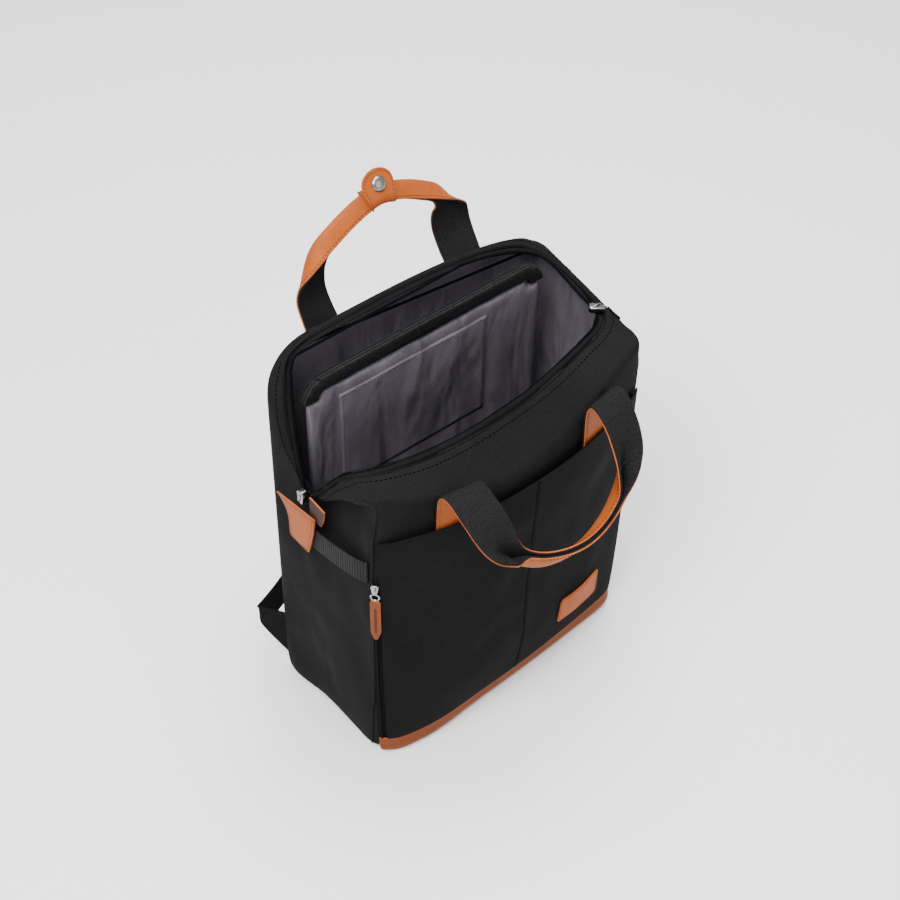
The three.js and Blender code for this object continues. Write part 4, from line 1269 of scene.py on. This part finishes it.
# %% [markdown]
# ## Sliders, ring and pull
# A zip slider is a waisted wedge of cast metal with a bridge on top that holds its pull. The
# wedge is a bevelled copy of the solid. The bridge is a short bar bent over it: a curve with a
# round section, which is quicker than a bent box.

# %% Build the sliders
bridge_lift = 3.1 * mm


def build_slider(node, name, out):
    bm = solid_copy(node)
    rounded(bm, [edge for edge in bm.edges if is_sharp(edge)], 0.7 * mm, segments=3)
    centre = sum((v.co for v in bm.verts), Vector()) / len(bm.verts)
    piece(bm, name, [nickel], [node])
    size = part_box(node)[1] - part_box(node)[0]
    long_axis = max(range(3), key=lambda axis: size[axis])
    along = Vector([1.0 if axis == long_axis else 0.0 for axis in range(3)])
    reach = size[long_axis] * 0.3
    turns = [math.pi * i / 10 for i in range(11)]
    arch = [centre + along * (reach * math.cos(turn)) + out * (bridge_lift * (0.85 + 0.6 * math.sin(turn)))
            for turn in turns]
    tube(name + "_bridge", [arch], 0.75 * mm, nickel)
    print(name, "is", round(size[long_axis] / mm, 1), "mm long")


build_slider("slider_left", "left_zip_slider", Vector((-1, 0, 0)))
build_slider("slider_right", "right_zip_slider", Vector((0, 0, 1)))

# %% [markdown]
# ### The pocket's ring, slider and pull
# The pocket's small slider is made like the other two. A ring joins it to a leather pull, which
# has a darker strip sewn along its middle. The ring is a rounded copy. The strip is finer than
# the solid model, so it is a small bevelled box laid on the pull's outer face. The real pull
# carries small marks, and this one is bare.

# %% Build the ring, the small slider and the pull
dress("pocket_zip_ring", "pull_ring", [nickel], bevel=False)
build_slider("pocket_slider", "small_zip_slider", Vector((-0.6, -0.8, 0)))
# The pull is given the band's darker leather as painted shade, because it hangs angled into shade.
dress("pocket_pull", "zip_pull", [band_and_shaded_pull_leather, leather_edge], levels=0, edge_index=1)


def build_pull_strip():
    """A narrow dark strip let into the pull's outer face."""
    bm = bmesh.new()
    low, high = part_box("pocket_pull")
    centre = (low + high) / 2
    out = Vector((-0.66, -0.75, 0)).normalized()
    up = Vector((0, 0, 1))
    turn = Matrix((up.cross(out), up, out)).transposed().to_4x4()
    place = Matrix.Translation(centre + out * 1.35 * mm) @ turn
    bmesh.ops.create_cube(bm, size=1, matrix=place @ Matrix.Diagonal((2.2 * mm, 34 * mm, 0.7 * mm, 1)))
    rounded(bm, bm.edges[:], 0.25 * mm)
    return piece(bm, "zip_pull_strip", [strip_leather])


strip = build_pull_strip()
print("pull strip faces:", len(strip.data.polygons))

# %% [markdown]
# ## Inside the bag
# A padded divider parts the narrow space at the back, with a black bound edge and an organiser
# pocket on its front. The divider is foam in a satin cover, so it is a padded piece: its copy is
# remeshed and a short cloth simulation with inner pressure lets the cover swell between its
# edges. Only a few frames are needed, and a cap keeps every point near the solid.

# %% A short cloth simulation for padded pieces
last_frame = 20


def swell(made, pressure):
    """Lets inner pressure push the cover out for a few frames, with no weight on it."""
    physics = made.modifiers.new("swelling", "CLOTH")
    physics.settings.use_pressure = True
    physics.settings.uniform_pressure_force = pressure
    physics.settings.mass = 0.3
    physics.settings.quality = 5
    physics.settings.effector_weights.gravity = 0
    physics.collision_settings.use_collision = False
    physics.point_cache.frame_start = 1
    physics.point_cache.frame_end = last_frame
    for frame_number in range(1, last_frame + 1):
        bpy.context.scene.frame_set(frame_number)
    settle(made)
    bpy.context.scene.frame_set(1)


def hold_near(made, start, cap):
    """Pulls back each point that went further than the cap from its start."""
    for vert, home in zip(made.data.vertices, start):
        moved = vert.co - home
        if moved.length > cap:
            vert.co = home + moved * (cap / moved.length)


print("a swelling runs for", last_frame, "frames")

# %% [markdown]
# ### The steps of a padded piece
# The skin is made even first, because cloth physics needs faces of one size. After the swelling
# it is subdivided and smoothed, which takes away the steps that the remesh left.

# %% Puff the divider and bind its edge
def puffed(node, name, finish, voxel, pressure, cap):
    """A padded copy of a node, swollen by cloth physics; capped so it stays in its place."""
    bm = solid_copy(node)
    bmesh.ops.triangulate(bm, faces=bm.faces)
    made = piece(bm, name, [finish], [node])
    remesh = made.modifiers.new("even skin", "REMESH")
    remesh.mode = "VOXEL"
    remesh.voxel_size = voxel
    settle(made)
    start = [v.co.copy() for v in made.data.vertices]
    swell(made, pressure)
    hold_near(made, start, cap)
    rounding = made.modifiers.new("rounding", "SUBSURF")
    rounding.levels = rounding.render_levels = 1
    settle(made)
    bm = bmesh.new()
    bm.from_mesh(made.data)
    bmesh.ops.smooth_vert(bm, verts=bm.verts, factor=0.4, use_axis_x=True, use_axis_y=True,
                          use_axis_z=True)
    bmesh.ops.recalc_face_normals(bm, faces=bm.faces)
    box_uv(bm)
    bm.to_mesh(made.data)
    bm.free()
    made.data.materials.clear()
    made.data.materials.append(finish)
    for polygon in made.data.polygons:
        polygon.use_smooth = True
    print(name, "faces:", len(made.data.polygons))


puffed("divider", "padded_divider", lining_cloth,
       voxel=4.5 * mm, pressure=2.0, cap=2.0 * mm)
dress("divider_binding", "divider_edge_binding", [strap_webbing], levels=1)

# %% [markdown]
# ### The organiser pocket
# A flat pocket of the same satin is sewn to the divider. Between its seams the thin cloth sags,
# so its front points are moved with the same noise as the body's folds, and left in place near
# a seam.

# %% Organiser pocket
# Where the two upright seams lie
organiser_seams = [-22 * mm, -6 * mm]
organiser_sag = 2.2 * mm


def build_organiser():
    bm = solid_copy("organiser_pocket")
    bmesh.ops.subdivide_edges(bm, edges=[e for e in bm.edges if e.calc_length() > 10 * mm], cuts=14,
                              use_grid_fill=True)
    low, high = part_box("organiser_pocket")
    for vert in bm.verts:
        if vert.co.y < (low.y + high.y) / 2:
            sag = smooth_step(vert.co.z, low.z, high.z) * slack(vert.co, 2.0, (1, 1, 0.4), 30.0)
            seam = max(0.0, 1 - min(abs(vert.co.x - x) for x in organiser_seams) / beside_seam)
            vert.co.y -= organiser_sag * sag * (1 - seam)
    box_uv(bm)
    crease_hard_edges(bm)
    return piece(bm, "organiser", [lining_cloth], ["organiser_pocket"], levels=1)


organiser = build_organiser()
organiser_run = inset_run(organiser, borders(organiser, looks_forward)[0], 3 * mm, on_top)
stitches("organiser_stitches", [(organiser_run, True)], black_thread_and_seam_shade,
         length=2.2 * mm, spacing=3.4 * mm, width=0.6 * mm)
print("organiser faces:", len(organiser.data.polygons))

# %% [markdown]
# ## The back
# The back carries a quilted pad and two padded shoulder straps. Each strap ends in a plastic
# adjuster, and a flat webbing runs from there to a cloth wing in the bottom corner's seam. The
# pads are foam in cloth, so they are puffed like the divider. The flat webbing keeps its shape
# as a rounded copy, because a remesh would lose a strip that is thinner than a voxel. Each wing
# is stretched a little at its inner end, so that it reaches into the seam.

# %% Build pads and straps
def sew_in(made, outward, reach):
    """Stretches a flap's inner end into its seam, by reach at the end and nothing at its tip."""
    spots = [vert.co.dot(outward) for vert in made.data.vertices]
    low, high = min(spots), max(spots)
    for vert, spot in zip(made.data.vertices, spots):
        vert.co -= outward * (reach * (high - spot) / (high - low))


puffed("back_pad", "back_pad_cover", shell_cloth,
       voxel=5 * mm, pressure=3.0, cap=3.0 * mm)
for side, away in (("left", -1), ("right", 1)):
    puffed(f"shoulder_strap_{side}", f"shoulder_pad_{side}", shell_cloth,
           voxel=4.5 * mm, pressure=3.0, cap=2.5 * mm)
    build_strap(f"strap_webbing_{side}", f"lower_webbing_{side}", [handle_webbing],
                lambda vert: vert.co.z)
    wing = dress(f"strap_wing_{side}", f"corner_wing_{side}", [shell_cloth])
    sew_in(wing, Vector((0.8 * away, 0.6, 0)), 6 * mm)
    bm = solid_copy(f"adjuster_{side}")
    rounded(bm, [edge for edge in bm.edges if is_sharp(edge)], 0.6 * mm)
    piece(bm, f"strap_adjuster_{side}", [moulded_black], [f"adjuster_{side}"])

# %% [markdown]
# ## Floor and light
# The photo was taken on white with soft light from all round and a brighter side at the upper
# left. A pale floor and three large area lights over a bright world give the same open shadows.
# Small lights would draw hard shadows that the photo doesn't have.

# %% Floor and world
floor_mesh = bmesh.new()
bmesh.ops.create_grid(floor_mesh, x_segments=1, y_segments=1, size=6)
floor_data = bpy.data.meshes.new("pale_floor")
floor_mesh.to_mesh(floor_data)
floor_mesh.free()
floor = bpy.data.objects.new("pale_floor", floor_data)
bpy.context.scene.collection.objects.link(floor)
floor_material, _, _ = new_material("pale_floor", Base_Color=(0.9, 0.9, 0.9, 1), Roughness=0.9)
floor_data.materials.append(floor_material)

world = bpy.data.worlds.new("studio")
world.use_nodes = True
world.node_tree.nodes["Background"].inputs["Color"].default_value = (1, 1, 1, 1)
world.node_tree.nodes["Background"].inputs["Strength"].default_value = 0.75
bpy.context.scene.world = world
print("floor:", floor.name, "world:", world.name)

# %% Lights
def area_light(name, place, aim, size, power):
    data = bpy.data.lights.new(name, "AREA")
    data.shape = "DISK"
    data.size = size
    data.energy = power
    light = bpy.data.objects.new(name, data)
    way = Vector(aim) - Vector(place)
    light.matrix_world = Matrix.Translation(place) @ way.to_track_quat("-Z", "Y").to_matrix().to_4x4()
    bpy.context.scene.collection.objects.link(light)


area_light("key", (-1.3, -0.5, 2.4), (0, 0, 0.25), 1.5, 120)
area_light("top", (0.5, 0.3, 2.7), (0, 0, 0.25), 1.8, 90)
area_light("front_fill", (0.6, -2.2, 1.3), (0, 0, 0.2), 1.4, 14)
print("lights:", [light.name for light in bpy.data.lights])
